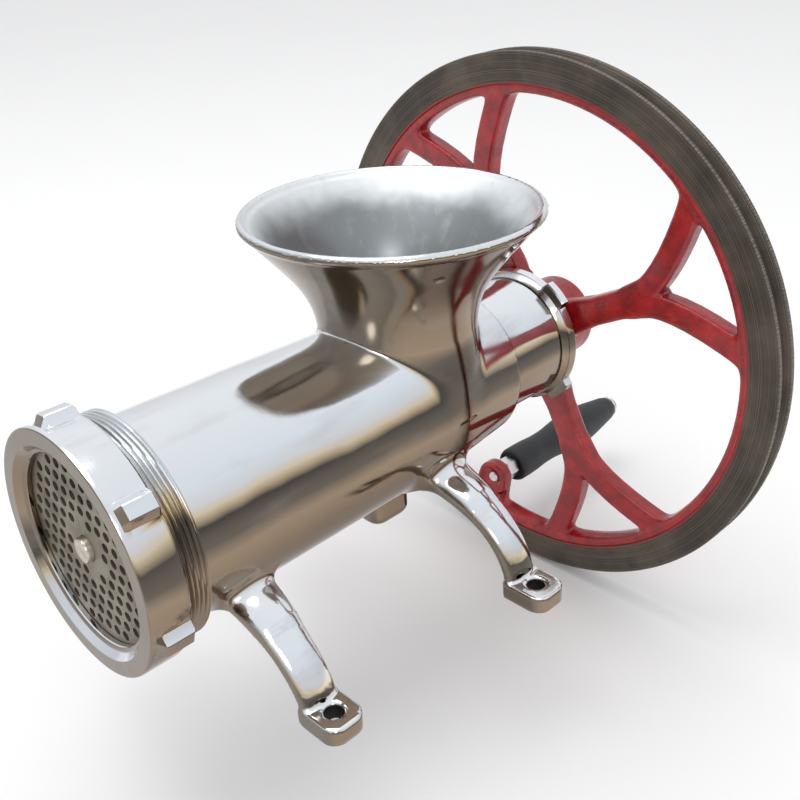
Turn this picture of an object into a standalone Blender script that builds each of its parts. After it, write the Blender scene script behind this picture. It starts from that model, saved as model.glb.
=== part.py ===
"""Meat grinder turned by a forked-spoke flywheel and bolted to a bench by its feet.

The origin is on the bench, in the middle of the four bolt holes. +Y runs along the
auger from the outlet to the flywheel, +X is to the right of somebody facing the
outlet's back, and +Z is up. All lengths are in metres.

Distances along the auger are measured from the front face of the ring nut. Radii and
heights of everything that turns are measured from the auger's axis.
"""

import math

import bmesh
import bpy
from mathutils import Matrix, Vector

# Clearances and cutting overruns
SEAT_GAP = 0.0003
CUT_OVERRUN = 0.0020
WELD = 0.00001

# Bench, bolt holes and feet
AXIS_HEIGHT = 0.0820
FRONT_HOLE_DISTANCE = 0.0608
HOLE_ROW_DISTANCE = 0.1286
FRONT_HOLE_REACH = 0.0909
REAR_HOLE_REACH = 0.1006
FRONT_PAD_HALF_WIDTH = 0.0106
REAR_PAD_HALF_WIDTH = 0.0112
PAD_NOSE_SHARE = 1.08
PAD_CORNER_SHARE = 0.42
PAD_THICKNESS = 0.0095
PAD_CHAMFER = 0.0012
FOOT_HOLE_RADIUS = 0.0044

# Legs, which are cast flat straps with a crowned outer side
LEG_ROOT_HALF_WIDTH = 0.0125
LEG_ROOT_EDGE = 0.0072
LEG_ROOT_CROWN = 0.0125
FRONT_LEG_ROOT = 0.0590
REAR_LEG_ROOT = 0.1880
BOSS_START = 0.1630
BOSS_END = 0.1950
BOSS_HALF_WIDTH = 0.0100
BOSS_DROP = 0.0740
BOSS_DRAFT = 0.0026
BOSS_CORNER_SHARE = 0.35
BOSS_SINK = 0.0078
BOSS_CHAMFER = 0.0039

# Outlet: ring nut, hole plate and the barrel's mouth
RING_WALL = 0.0037
RING_WIDTH = 0.0200
RING_CHAMFER = 0.0012
RING_LIP_DEPTH = 0.0065
RING_FLARE_DEPTH = 0.0087
RING_LIP_REACH = 0.0032
LUG_COUNT = 6
LUG_HEIGHT = 0.0048
LUG_ROOT_WIDTH = 0.0125
LUG_TOP_WIDTH = 0.0055
LUG_NOSE = 0.0042
LUG_TURN = math.radians(40)
PLATE_RADIUS = 0.0492
PLATE_THICKNESS = 0.0090
HOLE_RADIUS = 0.00235
HOLE_PITCH = 0.00756
HOLE_FIELD_INNER = 0.0150
HOLE_FIELD_MARGIN = 0.0070
HOLE_FIELD_TURN = math.radians(6.4)
MOUTH_WALL = 0.0058
MOUTH_START = 0.0085
MOUTH_END = 0.0314
PLATE_PIN_RADIUS = 0.0025
PLATE_PIN_LENGTH = 0.0110

# Barrel and the housing behind it
BARREL_FRONT_WALL = 0.0059
BARREL_BACK_WALL = 0.0034
BARREL_BACK = 0.2000
HOUSING_WALL = 0.0034
HOUSING_END = 0.2485
HOUSING_ROUND = 0.0018
BEARING_TUBE_RADIUS = 0.0366
BEARING_TUBE_END = 0.2925
SPIGOT_RADIUS = 0.0332
SPIGOT_LENGTH = 0.0035
BEARING_LEAD_IN = 0.0010
PLATE_LEDGE = 0.0027
KNIFE_CLEARANCE = 0.0029
BORE_STEP = 0.0025
BORE_TAPER = 0.0046
BORE_END = 0.2360

# Hopper, a trumpet on a neck
HOPPER_PLACE = 0.1977
HOPPER_RADIUS = 0.0770
HOPPER_TOP = 0.1044
HOPPER_LIP = 0.0040
HOPPER_WALL = 0.0036
NECK_RADIUS = 0.0420
NECK_SIDE_RADIUS = 0.0462
NECK_BACK_RADIUS = 0.0405
NECK_TOP = 0.0420

# Knife, stud and auger
KNIFE_HUB_RADIUS = 0.0150
KNIFE_THICKNESS = 0.0108
BLADE_WIDTH = 0.0130
BLADE_COUNT = 4
BLADE_LEAD_SHARE = 0.7
BLADE_TRAIL_SHARE = 0.3
BLADE_DEPTH_SHARE = 0.55
BLADE_START_SHARE = 1.5
STUD_RADIUS = 0.0060
STUD_PROUD = 0.0030
STUD_SQUARE = 0.0120
STUD_TAIL_RADIUS = 0.0060
STUD_TAIL_LENGTH = 0.0220
AUGER_CLEARANCE = 0.0006
AUGER_CORE_FRONT = 0.0165
AUGER_CORE_BACK = 0.0235
AUGER_TURNS = 3.6
FLIGHT_THICKNESS = 0.0055
FLIGHT_TIP_SHARE = 0.35
FLIGHT_PITCH_GROWTH = 0.35
SHOULDER_RADIUS = 0.0260
SHOULDER_LENGTH = 0.0030
JOURNAL_RADIUS = 0.0140
WHEEL_SEAT_RADIUS = 0.0120

# Bearing parts
THRUST_WASHER_RADIUS = 0.0240
THRUST_WASHER_THICKNESS = 0.0030
BUSHING_RADIUS = 0.0180
FRONT_BUSHING_LENGTH = 0.0200
SEAL_LENGTH = 0.0060
BUSHING_FLANGE_RADIUS = 0.0260
BUSHING_FLANGE_THICKNESS = 0.0020
RUNNING_GAP = 0.0003

# Castellated end nut
END_NUT_RADIUS = 0.0402
END_NUT_LIP = 0.0026
END_NUT_LUG_HEIGHT = 0.0042
END_NUT_LUG_COUNT = 4
END_NUT_LUG_SPREAD = math.radians(22)
END_NUT_LUG_TURN = math.radians(50)
END_NUT_CHAMFER = 0.0008
END_NUT_FRONT_CHAMFER = 0.0030

# Flywheel
WHEEL_GAP = 0.0010
WHEEL_RADIUS = 0.1626
RIM_WIDTH = 0.0150
RIM_BAND_DEPTH = 0.0178
RIM_CAST_DEPTH = 0.0036
RIM_BAND_PROUD = 0.0008
RIM_CROWN = 0.0016
GROOVE_WIDTH = 0.0106
GROOVE_FLOOR_WIDTH = 0.0050
GROOVE_DEPTH = 0.0086
RIM_SETBACK = 0.0021
HUB_RADIUS = 0.0247
HUB_LENGTH = 0.0370
HUB_CHAMFER = 0.0015
SPOKE_COUNT = 4
SPOKE_TURN = math.radians(26.5)
SPOKE_THICKNESS = 0.0115
SPOKE_BEVEL = 0.0022
EAR_INSET = 0.0181
EAR_TURN = math.radians(-104.4)
EAR_RADIUS = 0.0114
EAR_THICKNESS = 0.0096
EAR_RIM_WIDTH = 0.0032
EAR_POCKET_DEPTH = 0.0034

# Drive key, set screw and hub bolt
KEY_WIDTH = 0.0080
KEY_HEIGHT = 0.0070
KEY_DEPTH = 0.0040
KEY_LENGTH = 0.0250
KEY_TURN = SPOKE_TURN + math.radians(135)
SET_SCREW_RADIUS = 0.0030
SET_SCREW_LENGTH = 0.0080
SET_SCREW_SOCKET_RADIUS = 0.0016
SET_SCREW_SOCKET_DEPTH = 0.0030
HUB_WASHER_RADIUS = 0.0180
HUB_WASHER_THICKNESS = 0.0030
HUB_BOLT_RADIUS = 0.0050
HUB_BOLT_LENGTH = 0.0260
HUB_BOLT_FLATS = 0.0170
HUB_BOLT_HEAD = 0.0064
BOLT_CHAMFER = 0.0006

# Handle
SPINDLE_RADIUS = 0.0035
SPINDLE_THREAD_RADIUS = 0.0038
SPINDLE_PROUD = 0.0016
SPINDLE_HEAD_RADIUS = 0.0056
SPINDLE_HEAD_LENGTH = 0.0042
HANDLE_WASHER_RADIUS = 0.0080
HANDLE_WASHER_THICKNESS = 0.0016
HANDLE_NUT_FLATS = 0.0136
HANDLE_NUT_THICKNESS = 0.0098
GRIP_LENGTH = 0.1120
GRIP_FRONT_RADIUS = 0.0119
GRIP_WAIST_RADIUS = 0.0107
GRIP_SWELL_RADIUS = 0.0138
GRIP_END_RADIUS = 0.0078
END_WASHER_RADIUS = 0.0078
END_WASHER_THICKNESS = 0.0016

# Counts of sides and steps, and the angles at which edges are sharp or bevelled
BARREL_SIDES = 48
HOPPER_SIDES = 40
HOPPER_STEPS = 7
LEG_STEPS = 50
WHEEL_SIDES = 64
HUB_SIDES = 32
SMALL_SIDES = 24
SPINDLE_SIDES = 16
TINY_SIDES = 12
DRILL_SIDES = 8
FLIGHT_STEPS_PER_TURN = 14
SHARP_ANGLE = math.radians(32)
BEVEL_ANGLE = math.radians(70)

# Radii worked out from the hole plate outwards
MOUTH_RADIUS = PLATE_RADIUS + MOUTH_WALL
RING_RADIUS = MOUTH_RADIUS + SEAT_GAP + RING_WALL
RING_FLARE_RADIUS = RING_RADIUS - RING_FLARE_DEPTH
RING_OPENING_RADIUS = PLATE_RADIUS - RING_LIP_REACH
HOLE_FIELD_OUTER = PLATE_RADIUS - HOLE_FIELD_MARGIN
KNIFE_BORE_RADIUS = PLATE_RADIUS - PLATE_LEDGE
KNIFE_RADIUS = KNIFE_BORE_RADIUS - KNIFE_CLEARANCE
AUGER_BORE_RADIUS = KNIFE_BORE_RADIUS - BORE_STEP
AUGER_BORE_BACK_RADIUS = AUGER_BORE_RADIUS - BORE_TAPER
BARREL_FRONT_RADIUS = AUGER_BORE_RADIUS + BARREL_FRONT_WALL
BARREL_BACK_RADIUS = AUGER_BORE_RADIUS + BARREL_BACK_WALL
HOUSING_RADIUS = AUGER_BORE_BACK_RADIUS + HOUSING_WALL

# Places worked out across the flywheel
RIM_BAND_RADIUS = WHEEL_RADIUS - RIM_BAND_DEPTH
RIM_INNER_RADIUS = RIM_BAND_RADIUS - RIM_CAST_DEPTH
EAR_REACH = RIM_INNER_RADIUS - EAR_INSET

# Places worked out along the auger
RING_FACE = -(HOLE_ROW_DISTANCE / 2 + FRONT_HOLE_DISTANCE)
PLATE_START = RING_LIP_DEPTH + SEAT_GAP
PLATE_END = PLATE_START + PLATE_THICKNESS
KNIFE_START = PLATE_END + SEAT_GAP
KNIFE_END = KNIFE_START + KNIFE_THICKNESS
AUGER_START = KNIFE_END + SEAT_GAP
KNIFE_ROOM_END = AUGER_START + SEAT_GAP
THRUST_WASHER_START = BORE_END - SEAT_GAP - THRUST_WASHER_THICKNESS
AUGER_SHOULDER_END = THRUST_WASHER_START - SEAT_GAP
BEARING_BORE_RADIUS = BUSHING_RADIUS + SEAT_GAP
SPIGOT_END = BEARING_TUBE_END + SPIGOT_LENGTH
FRONT_BUSHING_START = BORE_END + SEAT_GAP
SEAL_START = FRONT_BUSHING_START + FRONT_BUSHING_LENGTH + SEAT_GAP
REAR_BUSHING_START = SEAL_START + SEAL_LENGTH + SEAT_GAP
REAR_FLANGE_START = SPIGOT_END + SEAT_GAP
REAR_FLANGE_END = REAR_FLANGE_START + BUSHING_FLANGE_THICKNESS
END_NUT_START = BEARING_TUBE_END + SEAT_GAP
END_NUT_END = REAR_FLANGE_END + SEAT_GAP + END_NUT_LIP
HUB_START = END_NUT_END + WHEEL_GAP
JOURNAL_END = HUB_START - SEAT_GAP
HUB_END = HUB_START + HUB_LENGTH
RIM_START = HUB_START + RIM_SETBACK
RIM_END = RIM_START + RIM_WIDTH
SHAFT_END = HUB_END - HUB_WASHER_THICKNESS
EAR_START = RIM_START + RIM_BAND_PROUD + SPOKE_BEVEL / 2
EAR_END = EAR_START + EAR_THICKNESS
EAR_POCKET_FLOOR = EAR_START + EAR_POCKET_DEPTH


def remove_everything():
    for thing in list(bpy.data.objects):
        bpy.data.objects.remove(thing, do_unlink=True)


def finish(name, colour, roughness, metallic):
    """One paint or metal, as a Principled material."""
    material = bpy.data.materials.new(name)
    material.use_nodes = True
    shader = material.node_tree.nodes["Principled BSDF"]
    shader.inputs["Base Color"].default_value = (*colour, 1)
    shader.inputs["Roughness"].default_value = roughness
    shader.inputs["Metallic"].default_value = metallic
    return material


def piece(name, shape, material, axis):
    """Turn a bmesh into an object on one of the axes' empties."""
    mesh = bpy.data.meshes.new(name)
    shape.to_mesh(mesh)
    shape.free()
    mesh.shade_smooth()
    mesh.set_sharp_from_angle(angle=SHARP_ANGLE)
    thing = bpy.data.objects.new(name, mesh)
    thing.parent = axis
    if material is not None:
        mesh.materials.append(material)
    bpy.context.scene.collection.objects.link(thing)
    return thing


def axis_empty(name, place, parent=None):
    empty = bpy.data.objects.new(name, None)
    empty.location = place
    empty.parent = parent
    bpy.context.scene.collection.objects.link(empty)
    return empty


def tool(name, shape, axis):
    """A form that only cuts or joins, and isn't a piece itself."""
    thing = piece(name, shape, None, axis)
    thing.hide_render = True
    thing.display_type = "WIRE"
    return thing


def combine(target, other, operation):
    modifier = target.modifiers.new(other.name, "BOOLEAN")
    modifier.operation = operation
    modifier.solver = "EXACT"
    modifier.object = other


def join(target, other):
    combine(target, other, "UNION")


def cut(target, other):
    combine(target, other, "DIFFERENCE")


def bevel_edges(target, width):
    modifier = target.modifiers.new("softened edges", "BEVEL")
    modifier.width = width
    modifier.segments = 1
    modifier.limit_method = "ANGLE"
    modifier.angle_limit = BEVEL_ANGLE


def turned(outline, sides, hollow=False):
    """A shape turned about +Y from points of radius and distance along it.

    A hollow ring's outline closes on itself. A solid one starts and ends on the axis.
    """
    shape = bmesh.new()
    points = [shape.verts.new((radius, along, 0)) for radius, along in outline]
    pairs = list(zip(points, points[1:]))
    if hollow:
        pairs.append((points[-1], points[0]))
    edges = [shape.edges.new(pair) for pair in pairs]
    bmesh.ops.spin(shape, geom=points + edges, cent=(0, 0, 0), axis=(0, 1, 0),
                   angle=math.tau, steps=sides, use_merge=True)
    bmesh.ops.remove_doubles(shape, verts=shape.verts, dist=WELD)
    bmesh.ops.dissolve_degenerate(shape, edges=shape.edges, dist=WELD)
    bmesh.ops.recalc_face_normals(shape, faces=shape.faces)
    return shape


def lofted(sections):
    """A closed skin through loops of the same number of points."""
    shape = bmesh.new()
    loops = [[shape.verts.new(point) for point in section] for section in sections]
    for loop, following in zip(loops, loops[1:]):
        for index, corner in enumerate(loop):
            after = (index + 1) % len(loop)
            shape.faces.new((corner, loop[after], following[after], following[index]))
    shape.faces.new(list(reversed(loops[0])))
    shape.faces.new(loops[-1])
    bmesh.ops.recalc_face_normals(shape, faces=shape.faces)
    return shape


def prism(outline, start, end):
    """A flat outline in X and Z, pulled along Y."""
    shape = bmesh.new()
    face = shape.faces.new([shape.verts.new((x, start, z)) for x, z in outline])
    pulled = bmesh.ops.extrude_face_region(shape, geom=[face])
    corners = [item for item in pulled["geom"] if isinstance(item, bmesh.types.BMVert)]
    bmesh.ops.translate(shape, verts=corners, vec=(0, end - start, 0))
    bmesh.ops.recalc_face_normals(shape, faces=shape.faces)
    return shape


def turn(shape, angle):
    """Turn a shape about the Y axis, from +X towards +Z."""
    bmesh.ops.rotate(shape, verts=shape.verts, cent=(0, 0, 0),
                     matrix=Matrix.Rotation(-angle, 3, "Y"))
    return shape


def move(shape, offset):
    bmesh.ops.translate(shape, verts=shape.verts, vec=offset)
    return shape


def round_loop(radius, sides, centre=(0, 0), start=0, sweep=math.tau):
    """Points round a circle or, with a shorter sweep, along an arc with both ends."""
    gaps = sides if sweep == math.tau else sides - 1
    angles = [start + sweep * index / gaps for index in range(sides)]
    return [(centre[0] + radius * math.cos(angle), centre[1] + radius * math.sin(angle))
            for angle in angles]


def curve_points(controls, steps):
    """Points along a Bezier curve of any degree, ends included."""
    points = []
    for index in range(steps + 1):
        share = index / steps
        level = [Vector(control) for control in controls]
        while len(level) > 1:
            level = [a.lerp(b, share) for a, b in zip(level, level[1:])]
        points.append(level[0])
    return points


def ring(name, inner, outer, start, end, material, axis, sides=SMALL_SIDES):
    """A plain washer, bush or seal."""
    outline = [(inner, start), (outer, start), (outer, end), (inner, end)]
    return piece(name, turned(outline, sides, hollow=True), material, axis)


def hexagon(flats):
    return round_loop(flats / math.sqrt(3), 6, start=math.radians(30))


# Casting: barrel, hopper, housing and legs in one piece

def barrel_outline():
    """Outside, with the mouth's stepped seat and the lead-in of the bearing bore."""
    seat = PLATE_RADIUS + SEAT_GAP
    return [
        (0, KNIFE_ROOM_END),
        (KNIFE_BORE_RADIUS, KNIFE_ROOM_END),
        (KNIFE_BORE_RADIUS, PLATE_END + SEAT_GAP),
        (seat, PLATE_END + SEAT_GAP),
        (seat, MOUTH_START),
        (MOUTH_RADIUS, MOUTH_START),
        (MOUTH_RADIUS, MOUTH_END),
        (BARREL_FRONT_RADIUS, MOUTH_END + RING_CHAMFER),
        (BARREL_BACK_RADIUS, BARREL_BACK),
        (HOUSING_RADIUS, HOUSING_END - HOUSING_ROUND),
        (HOUSING_RADIUS - HOUSING_ROUND, HOUSING_END),
        (BEARING_TUBE_RADIUS, HOUSING_END),
        (BEARING_TUBE_RADIUS, BEARING_TUBE_END),
        (SPIGOT_RADIUS, BEARING_TUBE_END),
        (SPIGOT_RADIUS, SPIGOT_END),
        (BEARING_BORE_RADIUS + BEARING_LEAD_IN, SPIGOT_END),
        (BEARING_BORE_RADIUS + BEARING_LEAD_IN, SPIGOT_END - BEARING_LEAD_IN),
        (0, SPIGOT_END - BEARING_LEAD_IN),
    ]


def bore_outline():
    """The auger's room from the knife back, and the bearing bore behind it."""
    return [
        (0, KNIFE_ROOM_END - CUT_OVERRUN),
        (AUGER_BORE_RADIUS, KNIFE_ROOM_END - CUT_OVERRUN),
        (AUGER_BORE_RADIUS, BARREL_BACK),
        (AUGER_BORE_BACK_RADIUS, BORE_END),
        (BEARING_BORE_RADIUS, BORE_END),
        (BEARING_BORE_RADIUS, SPIGOT_END - BEARING_LEAD_IN / 2),
        (0, SPIGOT_END - BEARING_LEAD_IN / 2),
    ]


def oval(side_radius, back_radius, height):
    """One level loop of the hopper, round or a little wider across the barrel."""
    angles = [math.tau * index / HOPPER_SIDES for index in range(HOPPER_SIDES)]
    return [(side_radius * math.cos(angle), HOPPER_PLACE + back_radius * math.sin(angle),
             height) for angle in angles]


hopper_flare_shares = ((0.0, 0.0), (0.04, 0.41), (0.457, 0.61), (1.0, 1.0))


def hopper_flare(throat, rim, top):
    """Radius and height pairs up the trumpet, from the neck's top to the rim."""
    controls = [(throat + (rim - throat) * out, NECK_TOP + (top - NECK_TOP) * up)
                for out, up in hopper_flare_shares]
    return curve_points(controls, HOPPER_STEPS)


neck_width_shares = ((1.0, 0.0), (1.0, 0.3), (0.5, 0.7))
lip_section_shares = ((0.0, 0.6), (0.25, 0.9), (0.5, 1.0))


def hopper_outside():
    lip_start = HOPPER_TOP - HOPPER_LIP
    loops = []
    for width, rise in neck_width_shares:
        side = NECK_RADIUS + (NECK_SIDE_RADIUS - NECK_RADIUS) * width
        loops.append(oval(side, NECK_BACK_RADIUS, NECK_TOP * rise))
    loops += [oval(radius, radius, height)
              for radius, height in hopper_flare(NECK_RADIUS, HOPPER_RADIUS, lip_start)]
    for inset, rise in lip_section_shares:
        radius = HOPPER_RADIUS - HOPPER_LIP * inset
        loops.append(oval(radius, radius, lip_start + HOPPER_LIP * rise))
    return lofted(loops)


def hopper_inside():
    throat = NECK_RADIUS - HOPPER_WALL
    rim = HOPPER_RADIUS - HOPPER_WALL
    loops = [oval(throat, throat, 0)]
    loops += [oval(radius, radius, height)
              for radius, height in hopper_flare(throat, rim, HOPPER_TOP)]
    loops.append(oval(rim, rim, HOPPER_TOP + CUT_OVERRUN))
    return lofted(loops)


front_leg_reach_shares = (0.38, 0.69, 0.945, 0.985)
front_leg_drop_shares = (0.44, 0.50, 0.73, 0.94)
rear_leg_reach_shares = (0.32, 0.70, 0.945, 0.985)
rear_leg_drop_shares = (0.42, 0.47, 0.63, 0.94)
leg_place_shares = (0.0, 0.18, 0.36, 0.44, 0.52, 0.68, 0.84, 1.0)
leg_width_shares = (1.0, 0.96, 0.90, 0.86, 0.84, 0.81, 0.79, 0.78)
leg_height_shares = (0.90, 0.86, 0.80, 0.66, 0.64, 0.62, 0.58, 0.50)
leg_section_shares = ((-1, 0), (1, 0), (1, None), (0.62, 0.80), (0.22, 1.0),
                      (-0.22, 1.0), (-0.62, 0.80), (-1, None))


def leg(pad_inner, place, root_place, reach_shares, drop_shares):
    """A crowned strap that arches from under the barrel down to its pad."""
    controls = [(pad_inner * reach, -AXIS_HEIGHT * drop)
                for reach, drop in zip(reach_shares, drop_shares)]
    path = curve_points(controls, LEG_STEPS)
    sections = []
    for along, width_share, height_share in zip(leg_place_shares, leg_width_shares,
                                                leg_height_shares):
        step = round(along * LEG_STEPS)
        here = path[step]
        run = path[min(step + 1, LEG_STEPS)] - path[max(step - 1, 0)]
        outward = Vector((-run.y, run.x)).normalized()
        half = LEG_ROOT_HALF_WIDTH * width_share
        middle = root_place + (place - root_place) * along
        loop = []
        for side, rise in leg_section_shares:
            height = LEG_ROOT_EDGE if rise is None else (
                LEG_ROOT_EDGE + (LEG_ROOT_CROWN - LEG_ROOT_EDGE) * rise)
            if rise == 0:
                height = 0
            spot = here + outward * height * height_share
            loop.append((spot.x, middle + half * side, spot.y))
        sections.append(loop)
    return lofted(sections)


def pad(reach, place, half):
    """A foot pad: square where the leg lands, with its two outer corners cut off."""
    inner = reach - half - HOUSING_ROUND
    outer = reach + half * PAD_NOSE_SHARE
    corner = half * PAD_CORNER_SHARE
    outline = [(inner, place + half), (inner, place - half), (outer - corner, place - half),
               (outer, place - half + corner), (outer, place + half - corner),
               (outer - corner, place + half)]
    shape = bmesh.new()
    face = shape.faces.new([shape.verts.new((x, y, -AXIS_HEIGHT)) for x, y in outline])
    pulled = bmesh.ops.extrude_face_region(shape, geom=[face])
    corners = [item for item in pulled["geom"] if isinstance(item, bmesh.types.BMVert)]
    bmesh.ops.translate(shape, verts=corners, vec=(0, 0, PAD_THICKNESS))
    top = [edge for edge in shape.edges if all(v in corners for v in edge.verts)]
    bmesh.ops.bevel(shape, geom=top, offset=PAD_CHAMFER, segments=1, affect="EDGES")
    bmesh.ops.recalc_face_normals(shape, faces=shape.faces)
    return shape


def box_loop(half_width, middle, half_length, height):
    """A level rectangle with its corners cut, across the centre line of the barrel."""
    cut_back = half_width * BOSS_CORNER_SHARE
    corners = ((1, -1), (1, 1), (-1, 1), (-1, -1))
    loop = []
    for x, y in corners:
        along_edge = (x * half_width, middle + y * (half_length - cut_back), height)
        along_end = (x * (half_width - cut_back), middle + y * half_length, height)
        pair = (along_edge, along_end) if x == y else (along_end, along_edge)
        loop += pair
    return loop


def boss():
    """The rounded block cast under the barrel between the back legs."""
    middle = (BOSS_START + BOSS_END) / 2
    half = (BOSS_END - BOSS_START) / 2
    return lofted([
        box_loop(BOSS_HALF_WIDTH + BOSS_DRAFT, middle, half + BOSS_DRAFT,
                 -BARREL_BACK_RADIUS + BOSS_SINK),
        box_loop(BOSS_HALF_WIDTH, middle, half, -BOSS_DROP + BOSS_CHAMFER),
        box_loop(BOSS_HALF_WIDTH - BOSS_DRAFT, middle, half - BOSS_DRAFT, -BOSS_DROP),
    ])


def mirrored(thing):
    """The same form again on the other side of the barrel."""
    modifier = thing.modifiers.new("other side", "MIRROR")
    modifier.use_axis = (True, False, False)
    modifier.merge_threshold = WELD


def foot_hole(reach, place):
    rim = round_loop(FOOT_HOLE_RADIUS, TINY_SIDES, (reach, place))
    low = -AXIS_HEIGHT - CUT_OVERRUN
    high = low + PAD_THICKNESS + 2 * CUT_OVERRUN
    return lofted([[(x, y, level) for x, y in rim] for level in (low, high)])


def plate_pin_shape(radius, start, end):
    shape = turned([(0, start), (radius, start), (radius, end), (0, end)], TINY_SIDES)
    return move(shape, (0, 0, -PLATE_RADIUS))


def build_casting(axis, metal):
    body = piece("grinder_body", turned(barrel_outline(), BARREL_SIDES), metal, axis)
    join(body, tool("hopper form", hopper_outside(), axis))
    rear_place = FRONT_HOLE_DISTANCE + HOLE_ROW_DISTANCE
    feet = (
        ("front", FRONT_HOLE_REACH, FRONT_HOLE_DISTANCE, FRONT_LEG_ROOT,
         FRONT_PAD_HALF_WIDTH, front_leg_reach_shares, front_leg_drop_shares),
        ("rear", REAR_HOLE_REACH, rear_place, REAR_LEG_ROOT,
         REAR_PAD_HALF_WIDTH, rear_leg_reach_shares, rear_leg_drop_shares),
    )
    for label, reach, place, root, half, reach_shares, drop_shares in feet:
        strap = leg(reach - half, place, root, reach_shares, drop_shares)
        for form_name, shape in ((label + " leg form", strap),
                                 (label + " pad form", pad(reach, place, half))):
            form = tool(form_name, shape, axis)
            mirrored(form)
            join(body, form)
    join(body, tool("boss form", boss(), axis))
    cut(body, tool("hopper hollow", hopper_inside(), axis))
    cut(body, tool("bore", turned(bore_outline(), BARREL_SIDES), axis))
    for label, reach, place, *_ in feet:
        hole = tool(label + " foot hole", foot_hole(reach, place), axis)
        mirrored(hole)
        cut(body, hole)
    groove = plate_pin_shape(PLATE_PIN_RADIUS + SEAT_GAP, MOUTH_START - CUT_OVERRUN,
                             PLATE_START + PLATE_PIN_LENGTH + SEAT_GAP)
    cut(body, tool("pin groove", groove, axis))
    return body


# Outlet: ring nut, hole plate and its pin

def build_ring_nut(axis, metal):
    thread = MOUTH_RADIUS + SEAT_GAP
    outline = [
        (RING_FLARE_RADIUS, 0),
        (RING_RADIUS - RING_CHAMFER, 0),
        (RING_RADIUS, RING_CHAMFER),
        (RING_RADIUS, RING_WIDTH - RING_CHAMFER),
        (RING_RADIUS - RING_CHAMFER, RING_WIDTH),
        (thread, RING_WIDTH),
        (thread, RING_LIP_DEPTH),
        (RING_OPENING_RADIUS, RING_LIP_DEPTH),
        (RING_OPENING_RADIUS, RING_LIP_DEPTH / 2),
    ]
    nut = piece("ring_nut", turned(outline, WHEEL_SIDES, hollow=True), metal, axis)
    root = LUG_ROOT_WIDTH / 2
    top = LUG_TOP_WIDTH / 2
    sunk = RING_RADIUS - LUG_HEIGHT / 2
    crest = RING_RADIUS + LUG_HEIGHT
    back = RING_WIDTH - RING_CHAMFER
    for index in range(LUG_COUNT):
        sections = [
            [(sunk, 0, -root), (RING_RADIUS, 0, -root), (RING_RADIUS, 0, root), (sunk, 0, root)],
            [(sunk, LUG_NOSE, -root), (crest, LUG_NOSE, -top), (crest, LUG_NOSE, top),
             (sunk, LUG_NOSE, root)],
            [(sunk, back, -root), (crest, back, -top), (crest, back, top), (sunk, back, root)],
        ]
        nose = RING_CHAMFER / 2
        shape = move(lofted(sections), (0, nose, 0))
        lug = tool("ring lug %d" % index,
                   turn(shape, LUG_TURN + math.tau * index / LUG_COUNT), axis)
        join(nut, lug)
    return nut


def hole_places():
    """Centres of the plate's holes, on a triangular grid with a bare middle."""
    rows = math.ceil(HOLE_FIELD_OUTER / HOLE_PITCH) + 1
    places = []
    for across in range(-rows, rows + 1):
        for up in range(-rows, rows + 1):
            x = HOLE_PITCH * (across + up / 2)
            z = HOLE_PITCH * up * math.sqrt(3) / 2
            if HOLE_FIELD_INNER <= math.hypot(x, z) <= HOLE_FIELD_OUTER:
                spin = HOLE_FIELD_TURN
                places.append((x * math.cos(spin) - z * math.sin(spin),
                               x * math.sin(spin) + z * math.cos(spin)))
    return places


def build_hole_plate(axis, metal):
    outline = [(STUD_RADIUS + SEAT_GAP, PLATE_START), (PLATE_RADIUS, PLATE_START),
               (PLATE_RADIUS, PLATE_END), (STUD_RADIUS + SEAT_GAP, PLATE_END)]
    plate = piece("hole_plate", turned(outline, BARREL_SIDES, hollow=True), metal, axis)
    drills = bmesh.new()
    rim = round_loop(HOLE_RADIUS, DRILL_SIDES)
    low = PLATE_START - CUT_OVERRUN
    high = PLATE_END + CUT_OVERRUN
    for x, z in hole_places():
        near = [drills.verts.new((x + a, low, z + b)) for a, b in rim]
        far = [drills.verts.new((x + a, high, z + b)) for a, b in rim]
        drills.faces.new(near)
        drills.faces.new(list(reversed(far)))
        for index in range(DRILL_SIDES):
            after = (index + 1) % DRILL_SIDES
            drills.faces.new((near[after], near[index], far[index], far[after]))
    bmesh.ops.recalc_face_normals(drills, faces=drills.faces)
    cut(plate, tool("plate drills", drills, axis))
    notch = plate_pin_shape(PLATE_PIN_RADIUS + SEAT_GAP, low, high)
    cut(plate, tool("plate notch", notch, axis))
    return plate


def build_plate_pin(axis, metal):
    end = PLATE_START + PLATE_PIN_LENGTH
    return piece("plate_pin", plate_pin_shape(PLATE_PIN_RADIUS, PLATE_START, end), metal, axis)


# Inside the barrel: knife, stud and auger

def square_loop(half, count):
    """A square with as many points as a round loop, for skins from round to square."""
    points = []
    for x, z in round_loop(half, count, start=math.tau / count / 2):
        scale = half / max(abs(x), abs(z))
        points.append((x * scale, z * scale))
    return points


def build_stud(axis, metal):
    tip = RING_LIP_DEPTH - STUD_PROUD
    half_square = STUD_SQUARE / 2
    start = math.tau / SPINDLE_SIDES / 2
    round_part = round_loop(STUD_RADIUS, SPINDLE_SIDES, start=start)
    tip_part = round_loop(STUD_RADIUS - BOLT_CHAMFER, SPINDLE_SIDES, start=start)
    tail_part = round_loop(STUD_TAIL_RADIUS, SPINDLE_SIDES, start=start)
    square_part = square_loop(half_square, SPINDLE_SIDES)
    square_start = KNIFE_START
    square_end = KNIFE_END
    sections = [
        (tip_part, tip),
        (round_part, tip + BOLT_CHAMFER),
        (round_part, square_start - SEAT_GAP),
        (square_part, square_start),
        (square_part, square_end),
        (tail_part, square_end + SEAT_GAP / 2),
        (tail_part, AUGER_START + STUD_TAIL_LENGTH),
    ]
    shape = lofted([[(x, along, z) for x, z in loop] for loop, along in sections])
    return piece("auger_stud", shape, metal, axis)


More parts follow.
